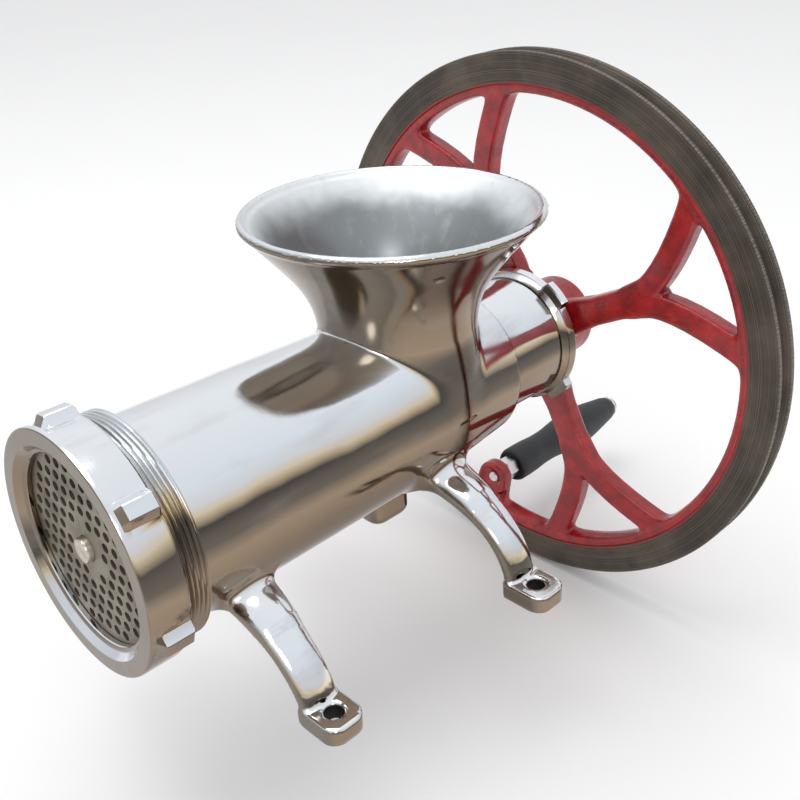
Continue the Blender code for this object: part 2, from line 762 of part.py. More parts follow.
def build_knife(axis, metal):
    """A cross of four blades whose leading edges lie flat on the plate."""
    blade_half = BLADE_WIDTH / 2
    outline = []
    for index in range(BLADE_COUNT):
        spin = math.tau * index / BLADE_COUNT
        corners = [(KNIFE_HUB_RADIUS, -blade_half),
                   (KNIFE_RADIUS, -blade_half * BLADE_LEAD_SHARE),
                   (KNIFE_RADIUS, blade_half * BLADE_TRAIL_SHARE),
                   (KNIFE_HUB_RADIUS, blade_half)]
        for x, z in corners:
            outline.append((x * math.cos(spin) - z * math.sin(spin),
                            x * math.sin(spin) + z * math.cos(spin)))
    shape = prism(outline, KNIFE_START, KNIFE_END)
    for corner in shape.verts:
        reach = math.hypot(corner.co.x, corner.co.z)
        if reach > KNIFE_HUB_RADIUS * BLADE_START_SHARE and corner.co.y > KNIFE_START + WELD:
            corner.co.y = KNIFE_START + KNIFE_THICKNESS * BLADE_DEPTH_SHARE
    knife = piece("knife", shape, metal, axis)
    hub_outline = [(0, KNIFE_START), (KNIFE_HUB_RADIUS, KNIFE_START),
                   (KNIFE_HUB_RADIUS, KNIFE_END), (0, KNIFE_END)]
    join(knife, tool("knife hub", turned(hub_outline, SMALL_SIDES), axis))
    half = STUD_SQUARE / 2 + SEAT_GAP
    square = [(-half, -half), (half, -half), (half, half), (-half, half)]
    eye = prism(square, KNIFE_START - CUT_OVERRUN, KNIFE_END + CUT_OVERRUN)
    cut(knife, tool("knife eye", eye, axis))
    return knife


def core_radius(along):
    share = (along - AUGER_START) / (AUGER_SHOULDER_END - AUGER_START)
    return AUGER_CORE_FRONT + (AUGER_CORE_BACK - AUGER_CORE_FRONT) * share


def flight_radius(along):
    """The flight follows the bore, which closes in behind the barrel."""
    share = max(0, along - BARREL_BACK) / (BORE_END - BARREL_BACK)
    bore = AUGER_BORE_RADIUS + (AUGER_BORE_BACK_RADIUS - AUGER_BORE_RADIUS) * share
    return bore - AUGER_CLEARANCE


def flight():
    """The auger's screw, as one closed ribbon whose pitch tightens to the front."""
    steps = round(AUGER_TURNS * FLIGHT_STEPS_PER_TURN)
    start = AUGER_START + FLIGHT_THICKNESS / 2
    run = AUGER_SHOULDER_END - SHOULDER_LENGTH - FLIGHT_THICKNESS - start
    sections = []
    for index in range(steps + 1):
        share = index / steps
        eased = share * (1 - FLIGHT_PITCH_GROWTH) + share * share * FLIGHT_PITCH_GROWTH
        along = start + run * eased
        angle = math.tau * AUGER_TURNS * share
        inner = core_radius(along) - FLIGHT_THICKNESS / 2
        outer = flight_radius(along + FLIGHT_THICKNESS / 2)
        tip = FLIGHT_THICKNESS * FLIGHT_TIP_SHARE
        root = FLIGHT_THICKNESS / 2
        section = []
        for radius, offset in ((inner, -root), (outer, -tip),
                               (outer, tip), (inner, root)):
            section.append((radius * math.cos(angle), along + offset,
                            radius * math.sin(angle)))
        sections.append(section)
    return lofted(sections)


def key_box(low, high, width, start, end):
    half = width / 2
    outline = [(low, -half), (high, -half), (high, half), (low, half)]
    return turn(prism(outline, start, end), KEY_TURN)


KEY_START = HUB_START + (HUB_LENGTH - HUB_WASHER_THICKNESS - KEY_LENGTH) / 2
KEY_FLOOR = WHEEL_SEAT_RADIUS - KEY_DEPTH
KEY_TOP = KEY_FLOOR + KEY_HEIGHT


def build_auger(axis, metal):
    outline = [
        (0, AUGER_START),
        (AUGER_CORE_FRONT, AUGER_START),
        (core_radius(AUGER_SHOULDER_END), AUGER_SHOULDER_END - SHOULDER_LENGTH),
        (SHOULDER_RADIUS, AUGER_SHOULDER_END - SHOULDER_LENGTH),
        (SHOULDER_RADIUS, AUGER_SHOULDER_END),
        (JOURNAL_RADIUS, AUGER_SHOULDER_END),
        (JOURNAL_RADIUS, JOURNAL_END),
        (WHEEL_SEAT_RADIUS, JOURNAL_END),
        (WHEEL_SEAT_RADIUS, SHAFT_END - BOLT_CHAMFER),
        (WHEEL_SEAT_RADIUS - BOLT_CHAMFER, SHAFT_END),
        (0, SHAFT_END),
    ]
    auger = piece("auger", turned(outline, SMALL_SIDES), metal, axis)
    join(auger, tool("auger flight", flight(), axis))
    socket = STUD_TAIL_RADIUS + SEAT_GAP
    socket_end = AUGER_START + STUD_TAIL_LENGTH + SEAT_GAP
    drilled = [(0, AUGER_START - CUT_OVERRUN), (socket, AUGER_START - CUT_OVERRUN),
               (socket, socket_end), (0, socket_end)]
    cut(auger, tool("stud socket", turned(drilled, SPINDLE_SIDES), axis))
    tapped = HUB_BOLT_RADIUS + SEAT_GAP
    tapped_start = HUB_END - HUB_BOLT_LENGTH
    drilled = [(0, tapped_start), (tapped, tapped_start),
               (tapped, SHAFT_END + CUT_OVERRUN), (0, SHAFT_END + CUT_OVERRUN)]
    cut(auger, tool("bolt socket", turned(drilled, TINY_SIDES), axis))
    slot = key_box(KEY_FLOOR - SEAT_GAP, WHEEL_SEAT_RADIUS + CUT_OVERRUN,
                   KEY_WIDTH + 2 * SEAT_GAP, KEY_START - SEAT_GAP,
                   KEY_START + KEY_LENGTH + SEAT_GAP)
    cut(auger, tool("shaft keyway", slot, axis))
    return auger


# Bearings and the nut that closes them in

def build_bearings(axis, bronze, rubber, steel):
    journal = JOURNAL_RADIUS + RUNNING_GAP
    ring("thrust_washer", journal, THRUST_WASHER_RADIUS, THRUST_WASHER_START,
         BORE_END - SEAT_GAP, steel, axis)
    ring("front_bushing", journal, BUSHING_RADIUS, FRONT_BUSHING_START,
         FRONT_BUSHING_START + FRONT_BUSHING_LENGTH, bronze, axis)
    ring("shaft_seal", journal, BUSHING_RADIUS, SEAL_START, SEAL_START + SEAL_LENGTH,
         rubber, axis)
    outline = [
        (journal, REAR_BUSHING_START),
        (BUSHING_RADIUS, REAR_BUSHING_START),
        (BUSHING_RADIUS, REAR_FLANGE_START),
        (BUSHING_FLANGE_RADIUS, REAR_FLANGE_START),
        (BUSHING_FLANGE_RADIUS, REAR_FLANGE_END),
        (journal, REAR_FLANGE_END),
    ]
    piece("rear_bushing", turned(outline, SMALL_SIDES, hollow=True), bronze, axis)


def build_end_nut(axis, metal):
    thread = SPIGOT_RADIUS + SEAT_GAP
    opening = JOURNAL_RADIUS + RUNNING_GAP + SEAT_GAP
    lip_start = REAR_FLANGE_END + SEAT_GAP
    outline = [
        (thread, END_NUT_START),
        (END_NUT_RADIUS - END_NUT_FRONT_CHAMFER, END_NUT_START),
        (END_NUT_RADIUS, END_NUT_START + END_NUT_FRONT_CHAMFER),
        (END_NUT_RADIUS, END_NUT_END - END_NUT_CHAMFER),
        (END_NUT_RADIUS - END_NUT_CHAMFER, END_NUT_END),
        (opening, END_NUT_END),
        (opening, lip_start),
        (thread, lip_start),
    ]
    nut = piece("end_nut", turned(outline, BARREL_SIDES, hollow=True), metal, axis)
    start = END_NUT_START + END_NUT_CHAMFER
    end = END_NUT_END - END_NUT_CHAMFER
    for index in range(END_NUT_LUG_COUNT):
        middle = END_NUT_LUG_TURN + math.tau * index / END_NUT_LUG_COUNT
        first = middle - END_NUT_LUG_SPREAD / 2
        crest = END_NUT_RADIUS + END_NUT_LUG_HEIGHT
        outline = round_loop(crest, 4, start=first, sweep=END_NUT_LUG_SPREAD)
        outline += reversed(round_loop(END_NUT_RADIUS - END_NUT_LUG_HEIGHT, 2, start=first,
                                       sweep=END_NUT_LUG_SPREAD))
        join(nut, tool("end nut lug %d" % index, prism(outline, start, end), axis))
    return nut


# Flywheel: rim, forked spokes, hub and handle ear in one casting

spoke_root_shares = (0.87, 0.73)
spoke_flare_shares = ((0.235, 0.074), (0.350, 0.062), (0.500, 0.058))
spoke_side_shares = ((0.500, 0.058), (0.710, 0.071), (0.940, 0.386))
spoke_fork_shares = ((0.988, 0.230), (0.835, 0.118), (0.690, 0.012))


def spoke_outline():
    """Half of a forked spoke from hub to rim and back to the fork, then its mirror.

    The points are shares of the rim's inner radius, out along the spoke and across.
    Only the first, which lies in the hub, is in shares of the hub's radius.
    """
    half = []
    root = tuple(HUB_RADIUS * share for share in spoke_root_shares)
    for shares, steps in ((spoke_flare_shares, 4), (spoke_side_shares, 6),
                          (spoke_fork_shares, 4)):
        controls = [(out * RIM_INNER_RADIUS, across * RIM_INNER_RADIUS)
                    for out, across in shares]
        if shares is spoke_flare_shares:
            controls.insert(0, root)
        for point in curve_points(controls, steps):
            if not half or (point - half[-1]).length > SPOKE_BEVEL / 2:
                half.append(point)
    other = [(x, -z) for x, z in half]
    return [tuple(point) for point in half] + list(reversed(other))


def rim_outline():
    """Section of the rim, with the belt groove round it and its machined faces."""
    start = RIM_START
    end = RIM_END
    middle = (start + end) / 2
    cast = RIM_BAND_PROUD
    return [
        (RIM_INNER_RADIUS, start + cast),
        (RIM_BAND_RADIUS, start + cast),
        (RIM_BAND_RADIUS, start),
        (WHEEL_RADIUS, start),
        (WHEEL_RADIUS, middle - GROOVE_WIDTH / 2),
        (WHEEL_RADIUS - GROOVE_DEPTH, middle - GROOVE_FLOOR_WIDTH / 2),
        (WHEEL_RADIUS - GROOVE_DEPTH, middle + GROOVE_FLOOR_WIDTH / 2),
        (WHEEL_RADIUS, middle + GROOVE_WIDTH / 2),
        (WHEEL_RADIUS, end),
        (RIM_BAND_RADIUS, end),
        (RIM_BAND_RADIUS, end - cast),
        (RIM_INNER_RADIUS, end - cast),
        (RIM_INNER_RADIUS - RIM_CROWN, middle),
    ]


ear_flank_shares = ((0.50, 1.0), (1.0, 1.10))
EAR_SPREAD_SHARE = 1.7
EAR_ARC_START = math.pi * 0.55
EAR_ARC_SWEEP = math.pi * 0.9
EAR_ARC_SIDES = 11


def ear_outline():
    """The handle's lug: round about its bolt, and spread where it meets the rim."""
    reach = RIM_INNER_RADIUS + RIM_CROWN
    flank = [(EAR_REACH + EAR_RADIUS * out, EAR_RADIUS * across)
             for out, across in ear_flank_shares]
    flank.append((reach, EAR_RADIUS * EAR_SPREAD_SHARE))
    outline = [(out, -across) for out, across in reversed(flank)]
    outline += reversed(round_loop(EAR_RADIUS, EAR_ARC_SIDES, (EAR_REACH, 0), EAR_ARC_START,
                                   EAR_ARC_SWEEP))
    return outline + flank


def ear_pocket_outline():
    """The hollow in the lug's front, which leaves a raised border round it."""
    radius = EAR_RADIUS - EAR_RIM_WIDTH
    end = RIM_INNER_RADIUS - EAR_RIM_WIDTH / 2
    outline = [(end, -radius)]
    outline += reversed(round_loop(radius, EAR_ARC_SIDES, (EAR_REACH, 0), EAR_ARC_START,
                                   EAR_ARC_SWEEP))
    return outline + [(end, radius)]


def build_flywheel(axis, paint):
    wheel = piece("flywheel", turned(rim_outline(), WHEEL_SIDES, hollow=True), paint, axis)
    hub_outline = [
        (0, HUB_START),
        (HUB_RADIUS - HUB_CHAMFER, HUB_START),
        (HUB_RADIUS, HUB_START + HUB_CHAMFER),
        (HUB_RADIUS, HUB_END - HUB_CHAMFER),
        (HUB_RADIUS - HUB_CHAMFER, HUB_END),
        (0, HUB_END),
    ]
    hub = tool("hub form", turned(hub_outline, HUB_SIDES), axis)
    spoke_start = RIM_START + RIM_BAND_PROUD + SPOKE_BEVEL / 4
    for index in range(SPOKE_COUNT):
        shape = prism(spoke_outline(), spoke_start, spoke_start + SPOKE_THICKNESS)
        form = tool("spoke form %d" % index,
                    turn(shape, SPOKE_TURN + math.tau * index / SPOKE_COUNT), axis)
        bevel_edges(form, SPOKE_BEVEL)
        join(wheel, form)
    join(wheel, hub)
    ear = tool("handle ear form",
               turn(prism(ear_outline(), EAR_START, EAR_END), EAR_TURN), axis)
    join(wheel, ear)
    pocket = turn(prism(ear_pocket_outline(), EAR_START - CUT_OVERRUN, EAR_POCKET_FLOOR),
                  EAR_TURN)
    cut(wheel, tool("handle ear pocket", pocket, axis))
    seat = WHEEL_SEAT_RADIUS + SEAT_GAP
    bored = [(0, HUB_START - CUT_OVERRUN), (seat, HUB_START - CUT_OVERRUN),
             (seat, HUB_END + CUT_OVERRUN), (0, HUB_END + CUT_OVERRUN)]
    cut(wheel, tool("hub bore", turned(bored, SMALL_SIDES), axis))
    slot = key_box(0, KEY_TOP + SEAT_GAP, KEY_WIDTH + 2 * SEAT_GAP,
                   HUB_START - CUT_OVERRUN, HUB_END + CUT_OVERRUN)
    cut(wheel, tool("hub keyway", slot, axis))
    cut(wheel, tool("set screw hole",
                    set_screw_shape(SET_SCREW_RADIUS + SEAT_GAP, 0, HUB_RADIUS + CUT_OVERRUN),
                    axis))
    drilled = [(0, EAR_START - CUT_OVERRUN),
               (SPINDLE_THREAD_RADIUS + SEAT_GAP, EAR_START - CUT_OVERRUN),
               (SPINDLE_THREAD_RADIUS + SEAT_GAP, EAR_END + CUT_OVERRUN),
               (0, EAR_END + CUT_OVERRUN)]
    eye = move(turned(drilled, SPINDLE_SIDES), handle_offset())
    cut(wheel, tool("ear hole", eye, axis))
    return wheel


def handle_offset():
    return (EAR_REACH * math.cos(EAR_TURN), 0, EAR_REACH * math.sin(EAR_TURN))


def set_screw_shape(radius, low, high):
    """A round bar that stands on the key, square to the shaft."""
    shape = turned([(0, low), (radius, low), (radius, high), (0, high)], TINY_SIDES)
    bmesh.ops.rotate(shape, verts=shape.verts, cent=(0, 0, 0),
                     matrix=Matrix.Rotation(math.radians(-90), 3, "Z"))
    turn(shape, KEY_TURN)
    return move(shape, (0, KEY_START + KEY_LENGTH / 2, 0))


def build_drive_fixings(axis, steel):
    low = KEY_TOP + SEAT_GAP
    key_shape = key_box(KEY_FLOOR, KEY_TOP, KEY_WIDTH, KEY_START, KEY_START + KEY_LENGTH)
    piece("hub_key", key_shape, steel, axis)
    screw = piece("hub_set_screw",
                  set_screw_shape(SET_SCREW_RADIUS, low, low + SET_SCREW_LENGTH), steel, axis)
    socket_floor = low + SET_SCREW_LENGTH - SET_SCREW_SOCKET_DEPTH
    socket = set_screw_shape(SET_SCREW_SOCKET_RADIUS, socket_floor,
                             low + SET_SCREW_LENGTH + CUT_OVERRUN)
    cut(screw, tool("set screw socket", socket, axis))
    washer_start = HUB_END + SEAT_GAP
    washer_end = washer_start + HUB_WASHER_THICKNESS
    ring("hub_washer", HUB_BOLT_RADIUS + SEAT_GAP, HUB_WASHER_RADIUS, washer_start,
         washer_end, steel, axis)
    head_start = washer_end + SEAT_GAP
    bolt = piece("hub_bolt", prism(hexagon(HUB_BOLT_FLATS), head_start,
                                   head_start + HUB_BOLT_HEAD), steel, axis)
    bevel_edges(bolt, BOLT_CHAMFER)
    shank_start = HUB_END - HUB_BOLT_LENGTH + SEAT_GAP
    shank = [(0, shank_start), (HUB_BOLT_RADIUS, shank_start),
             (HUB_BOLT_RADIUS, head_start + HUB_BOLT_HEAD / 2),
             (0, head_start + HUB_BOLT_HEAD / 2)]
    join(bolt, tool("hub bolt shank", turned(shank, TINY_SIDES), axis))


# Handle: spindle, washer, nut, grip and end washer

grip_outline_shares = ((0.000, "front", 0.78), (0.015, "front", 0.95), (0.060, "front", 1.0),
                       (0.150, "front", 0.98), (0.250, "waist", 1.0), (0.350, "waist", 1.02),
                       (0.480, "swell", 0.91), (0.590, "swell", 0.995),
                       (0.690, "swell", 0.98), (0.790, "swell", 0.88),
                       (0.890, "swell", 0.75), (0.965, "end", 1.16), (1.000, "end", 1.0))


def build_handle(axis, zinc, plastic):
    spindle_start = EAR_POCKET_FLOOR - SPINDLE_PROUD
    washer_start = EAR_END + SEAT_GAP
    nut_start = washer_start + HANDLE_WASHER_THICKNESS + SEAT_GAP
    grip_start = nut_start + HANDLE_NUT_THICKNESS + SEAT_GAP
    grip_end = grip_start + GRIP_LENGTH
    end_washer_start = grip_end + SEAT_GAP
    head_start = end_washer_start + END_WASHER_THICKNESS + SEAT_GAP
    head_end = head_start + SPINDLE_HEAD_LENGTH
    spindle_outline = [
        (0, spindle_start),
        (SPINDLE_THREAD_RADIUS - BOLT_CHAMFER, spindle_start),
        (SPINDLE_THREAD_RADIUS, spindle_start + BOLT_CHAMFER),
        (SPINDLE_THREAD_RADIUS, grip_start - SEAT_GAP),
        (SPINDLE_RADIUS, grip_start - SEAT_GAP),
        (SPINDLE_RADIUS, head_start),
        (SPINDLE_HEAD_RADIUS, head_start),
        (SPINDLE_HEAD_RADIUS, head_end - BOLT_CHAMFER),
        (SPINDLE_HEAD_RADIUS - BOLT_CHAMFER, head_end),
        (0, head_end),
    ]
    piece("handle_spindle", turned(spindle_outline, SPINDLE_SIDES), zinc, axis)
    thread = SPINDLE_THREAD_RADIUS + SEAT_GAP
    ring("handle_washer", thread, HANDLE_WASHER_RADIUS, washer_start,
         washer_start + HANDLE_WASHER_THICKNESS, zinc, axis)
    nut = piece("handle_nut", prism(hexagon(HANDLE_NUT_FLATS), nut_start,
                                    nut_start + HANDLE_NUT_THICKNESS), zinc, axis)
    bevel_edges(nut, BOLT_CHAMFER)
    tapped = [(0, nut_start - CUT_OVERRUN), (thread, nut_start - CUT_OVERRUN),
              (thread, grip_start + CUT_OVERRUN), (0, grip_start + CUT_OVERRUN)]
    cut(nut, tool("nut thread", turned(tapped, SPINDLE_SIDES), axis))
    bore = SPINDLE_RADIUS + RUNNING_GAP
    radii = {"front": GRIP_FRONT_RADIUS, "waist": GRIP_WAIST_RADIUS,
             "swell": GRIP_SWELL_RADIUS, "end": GRIP_END_RADIUS}
    grip_outline = [(bore, grip_start)]
    grip_outline += [(radii[size] * share, grip_start + GRIP_LENGTH * along)
                     for along, size, share in grip_outline_shares]
    grip_outline.append((bore, grip_end))
    piece("handle_grip", turned(grip_outline, SMALL_SIDES, hollow=True), plastic, axis)
    ring("handle_end_washer", bore, END_WASHER_RADIUS, end_washer_start,
         end_washer_start + END_WASHER_THICKNESS, zinc, axis, sides=SPINDLE_SIDES)


remove_everything()
polished = finish("polished casting", (0.78, 0.77, 0.75), 0.14, 1.0)
satin = finish("satin steel", (0.55, 0.53, 0.50), 0.38, 1.0)
dark_steel = finish("dark steel", (0.30, 0.29, 0.28), 0.42, 1.0)
bronze_metal = finish("bearing bronze", (0.66, 0.46, 0.22), 0.35, 1.0)
seal_rubber = finish("seal rubber", (0.03, 0.03, 0.03), 0.70, 0.0)
red_paint = finish("red paint over iron", (0.52, 0.03, 0.04), 0.32, 0.0)
zinc_plate = finish("zinc plate", (0.72, 0.73, 0.74), 0.28, 1.0)
grip_plastic = finish("grip plastic", (0.06, 0.07, 0.08), 0.50, 0.0)

auger_axis = axis_empty("auger axis", (0, RING_FACE, AXIS_HEIGHT))
handle_axis = axis_empty("handle axis", handle_offset(), auger_axis)

build_casting(auger_axis, polished)
build_ring_nut(auger_axis, polished)
build_hole_plate(auger_axis, satin)
build_plate_pin(auger_axis, dark_steel)
build_knife(auger_axis, satin)
build_stud(auger_axis, satin)
build_auger(auger_axis, dark_steel)
build_bearings(auger_axis, bronze_metal, seal_rubber, dark_steel)
build_end_nut(auger_axis, polished)
build_flywheel(auger_axis, red_paint)
build_drive_fixings(auger_axis, dark_steel)
build_handle(handle_axis, zinc_plate, grip_plastic)
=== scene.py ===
import math

import bmesh
import bpy
import numpy as np
from mathutils import Matrix, Vector


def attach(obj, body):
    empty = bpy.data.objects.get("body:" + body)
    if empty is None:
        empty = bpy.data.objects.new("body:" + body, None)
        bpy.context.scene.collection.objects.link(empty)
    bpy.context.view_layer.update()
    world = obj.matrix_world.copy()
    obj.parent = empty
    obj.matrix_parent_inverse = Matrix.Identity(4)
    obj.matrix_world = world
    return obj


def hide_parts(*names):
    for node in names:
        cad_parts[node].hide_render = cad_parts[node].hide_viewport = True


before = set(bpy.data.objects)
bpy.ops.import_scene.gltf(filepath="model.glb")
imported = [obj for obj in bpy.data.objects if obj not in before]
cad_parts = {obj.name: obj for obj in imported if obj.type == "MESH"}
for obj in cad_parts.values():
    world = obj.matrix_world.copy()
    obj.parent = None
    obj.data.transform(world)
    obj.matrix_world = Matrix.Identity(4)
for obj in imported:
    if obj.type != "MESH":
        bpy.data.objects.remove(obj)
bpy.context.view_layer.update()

# Main casting: barrel, trumpet hopper, bearing housing and four legs, poured in one
# piece of white metal and polished to a mirror by hand, so that its broad faces
# are smooth but not quite true, and its creases keep a small cast fillet.

# AXIS is the auger's height over the feet. FACE_Y is the front of the ring nut, from
# which most places along the auger are counted back.

AXIS = 0.0820
FACE_Y = -0.1251
BARREL_PLACES = (-0.0937, 0.0749, 0.1216)
BARREL_RADII = (0.0499, 0.0474, 0.0428)
BARREL_END = 0.1234
BARREL_EDGE = 0.0030
MOUTH_CUT = -0.0935
TUBE_R = 0.0366
TUBE_END = 0.1676
TUBE_FILLET = 0.0014
ROOM_PLACES = (0.0749, 0.1109)
ROOM_RADII = (0.0440, 0.0394)
ROOM_EDGE = 0.0018
SHAFT_BORE_R = 0.0183
FAR = 0.05


def bezier(controls, count):
    """Points along a cubic curve, as rows of an array."""
    a, b, c, d = (np.array(control, float) for control in controls)
    t = np.linspace(0, 1, count)[:, None]
    return (1 - t) ** 3 * a + 3 * (1 - t) ** 2 * t * b + 3 * (1 - t) * t ** 2 * c + t ** 3 * d


def soft_union(first, second, blend):
    """Two distance fields joined, with a fillet of about the blend's size."""
    share = np.clip(0.5 + 0.5 * (second - first) / blend, 0, 1)
    return second * (1 - share) + first * share - blend * share * (1 - share)


def soft_overlap(first, second, blend):
    """What two distance fields share, with its corner rounded."""
    return -soft_union(-first, -second, blend)


def soft_cut(form, hollow, blend):
    """The form without the hollow, with the cut's corner rounded."""
    return soft_overlap(form, -hollow, blend)


# The hopper's side follows one curve, whose shares are out from the throat and up.

NECK_Y = FACE_Y + 0.1977
NECK_TOP = 0.0420
NECK_FLARE = 0.0300
NECK_SPREAD = 0.0046
NECK_PINCH = 0.0016
TRUMPET_SHARES = ((0.0, 0.0), (0.04, 0.41), (0.457, 0.61), (1.0, 1.0))
HOPPER_TOP = 0.1020
HOPPER_FILLET = 0.0022
LIP_R = 0.0750
LIP_HEIGHT = 0.1024
LIP_BEAD = 0.0020
FUNNEL_EDGE = 0.0016


def trumpet(throat, rim, top, count=500):
    """Heights, radii and slopes up the hopper, from the neck's top to its rim."""
    curve = bezier([(throat + (rim - throat) * out, NECK_TOP + (top - NECK_TOP) * up)
                    for out, up in TRUMPET_SHARES], count)
    radii, heights = curve[:, 0], curve[:, 1]
    return heights, radii, np.gradient(radii, heights)


OUTER_TRUMPET = trumpet(throat=0.0420, rim=0.0768, top=0.1012)
INNER_TRUMPET = trumpet(throat=0.0384, rim=0.0736, top=0.1044)


def trumpet_field(x, y, z, shape, widen):
    """Distance to a trumpet; widen is 1 where its neck spreads into the barrel."""
    heights, radii, slopes = shape
    radius = np.interp(z, heights, radii)
    slope = np.interp(z, heights, slopes)
    neck = np.clip((NECK_TOP - z) / NECK_FLARE, 0, 1)
    neck = neck * neck * (3 - 2 * neck)
    side = radius + widen * NECK_SPREAD * neck
    back = radius - widen * NECK_PINCH * neck
    reach = np.hypot(x / side, (y - NECK_Y) / back)
    return (reach - 1) * np.minimum(side, back) / np.sqrt(1 + slope ** 2)


# Each foot's place is out from the middle and along the auger. A leg leaves the barrel at
# root_y, and its underside's shares are out towards the pad and down from the axis.

FRONT_FOOT = (0.0909, -0.0643)
REAR_FOOT = (0.1006, 0.0643)
LEGS = (
    {"foot": FRONT_FOOT, "root_y": FACE_Y + 0.0590, "half_pad": 0.0106, "fillet": 0.0075,
     "shares": ((0.38, 0.44), (0.69, 0.50), (0.945, 0.73), (0.985, 0.94))},
    {"foot": REAR_FOOT, "root_y": FACE_Y + 0.1880, "half_pad": 0.0112, "fillet": 0.0120,
     "shares": ((0.32, 0.42), (0.70, 0.47), (0.945, 0.63), (0.985, 0.94))},
)
LEG_POINTS = 140
LEG_STEP = 0.0008
LEG_CLEAR_OF_AXIS = 0.020
LEG_ROOM_Y = 0.030
LEG_MARK_SHARES = (0.0, 0.18, 0.36, 0.44, 0.52, 0.68, 0.84, 1.0)
LEG_HALF = 0.0125
LEG_HALF_SHARES = (1.04, 0.98, 0.90, 0.86, 0.83, 0.81, 0.80, 0.79)
LEG_EDGE = 0.0074
LEG_EDGE_SHARES = (1.0, 0.96, 0.90, 0.76, 0.72, 0.70, 0.66, 0.56)
LEG_CROWN = 0.0126
LEG_CROWN_SHARES = (0.92, 0.88, 0.82, 0.68, 0.66, 0.64, 0.60, 0.50)
LEG_ROUNDING = 0.0030
LEG_END = 0.0020


def leg_field(x, y, z, leg):
    """A leg's crowned strap, from its underside curve and its width and height along it."""
    foot_x, foot_y = leg["foot"]
    root_y = leg["root_y"]
    inner = foot_x - leg["half_pad"]
    path = bezier([(inner * out, -AXIS * down) for out, down in leg["shares"]], LEG_POINTS)
    run = np.gradient(path, axis=0)
    run /= np.linalg.norm(run, axis=1)[:, None]
    side = np.abs(x)
    field = np.full(x.shape, FAR)
    near = np.nonzero((side > LEG_CLEAR_OF_AXIS) & (z < -LEG_CLEAR_OF_AXIS)
                      & (np.abs(y - root_y) < LEG_ROOM_Y))[0]
    if near.size == 0:
        return field
    spot = np.stack([side[near], z[near]], 1)
    closest = np.argmin(((spot[:, None, :] - path[None]) ** 2).sum(2), axis=1)
    away = spot - path[closest]
    along = (away * run[closest]).sum(1)
    last = LEG_POINTS - 1
    share = (closest + along / LEG_STEP) / last
    outward = away[:, 0] * -run[closest][:, 1] + away[:, 1] * run[closest][:, 0]
    half = LEG_HALF * np.interp(share, LEG_MARK_SHARES, LEG_HALF_SHARES)
    edge = LEG_EDGE * np.interp(share, LEG_MARK_SHARES, LEG_EDGE_SHARES)
    crown = LEG_CROWN * np.interp(share, LEG_MARK_SHARES, LEG_CROWN_SHARES)
    middle = root_y + (foot_y - root_y) * np.clip(share, 0, 1)
    across = np.abs(y[near] - middle)
    top = edge + (crown - edge) * (1 - np.clip(across / half, 0, 1) ** 2)
    strap = soft_overlap(across - half, outward - top, LEG_ROUNDING)
    strap = soft_overlap(strap, -outward, LEG_ROUNDING)
    ends = np.maximum(-along - closest * LEG_STEP, along - (last - closest) * LEG_STEP)
    field[near] = soft_overlap(strap, ends - LEG_END, LEG_END)
    return field


# The feet end in flat pads, with a countersunk bolt hole each.

PAD_HEIGHT = 0.0095
PAD_EDGE = 0.0014
PAD_SIDE_EDGE = 0.0016
PAD_CORNER_EDGE = 0.0020
PAD_OUTER_SHARE = 1.08
PAD_CORNER_SHARE = 0.42
PAD_UNDER_LEG = 0.0018
PAD_FILLET = 0.0020
FOOT_HOLE_R = 0.0044
FOOT_HOLE_EDGE = 0.0008
SINK_WIDTH = 0.0012
SINK_SLOPE = 0.9
SINK_TOP = 0.011


def pad_field(x, y, z, leg):
    """A foot's flat pad with clipped outer corners."""
    foot_x, foot_y = leg["foot"]
    half = leg["half_pad"]
    side = np.abs(x)
    across = np.abs(y - foot_y)
    outer = foot_x + half * PAD_OUTER_SHARE
    corner = (side - outer + across - half + half * PAD_CORNER_SHARE) / math.sqrt(2)
    plan = soft_overlap(across - half, side - outer, PAD_SIDE_EDGE)
    plan = soft_overlap(plan, corner, PAD_CORNER_EDGE)
    plan = np.maximum(plan, foot_x - half - PAD_UNDER_LEG - side)
    pad = soft_overlap(plan, z + AXIS - PAD_HEIGHT, PAD_EDGE)
    return soft_overlap(pad, -AXIS - z, PAD_EDGE)


def foot_hole_field(x, y, z, leg):
    """A foot's bolt hole, countersunk a little at its top."""
    foot_x, foot_y = leg["foot"]
    hole = np.hypot(np.abs(x) - foot_x, y - foot_y) - FOOT_HOLE_R
    sink = hole - SINK_WIDTH + (-AXIS + PAD_HEIGHT - z) * SINK_SLOPE
    return np.minimum(hole, np.maximum(sink, z + AXIS - SINK_TOP))


# The boss under the barrel, and one small casting flaw below the hopper's lip.

BOSS_Y = 0.0539
BOSS_HALF_X = 0.0090
BOSS_HALF_Y = 0.0135
BOSS_CORNER = 0.0070
BOSS_LOW = 0.0705
BOSS_HIGH = 0.0300
BOSS_FILLET = 0.0060
DIMPLE_SPOT = (0.0590, 0.0446, 0.0866)
DIMPLE_R = 0.0019
DIMPLE_EDGE = 0.0014


def boss_field(x, y, z):
    """The square boss cast under the barrel."""
    block = soft_overlap(np.abs(x) - BOSS_HALF_X, np.abs(y - BOSS_Y) - BOSS_HALF_Y, BOSS_CORNER)
    return soft_overlap(block, np.maximum(-BOSS_LOW - z, z + BOSS_HIGH), BOSS_FILLET)


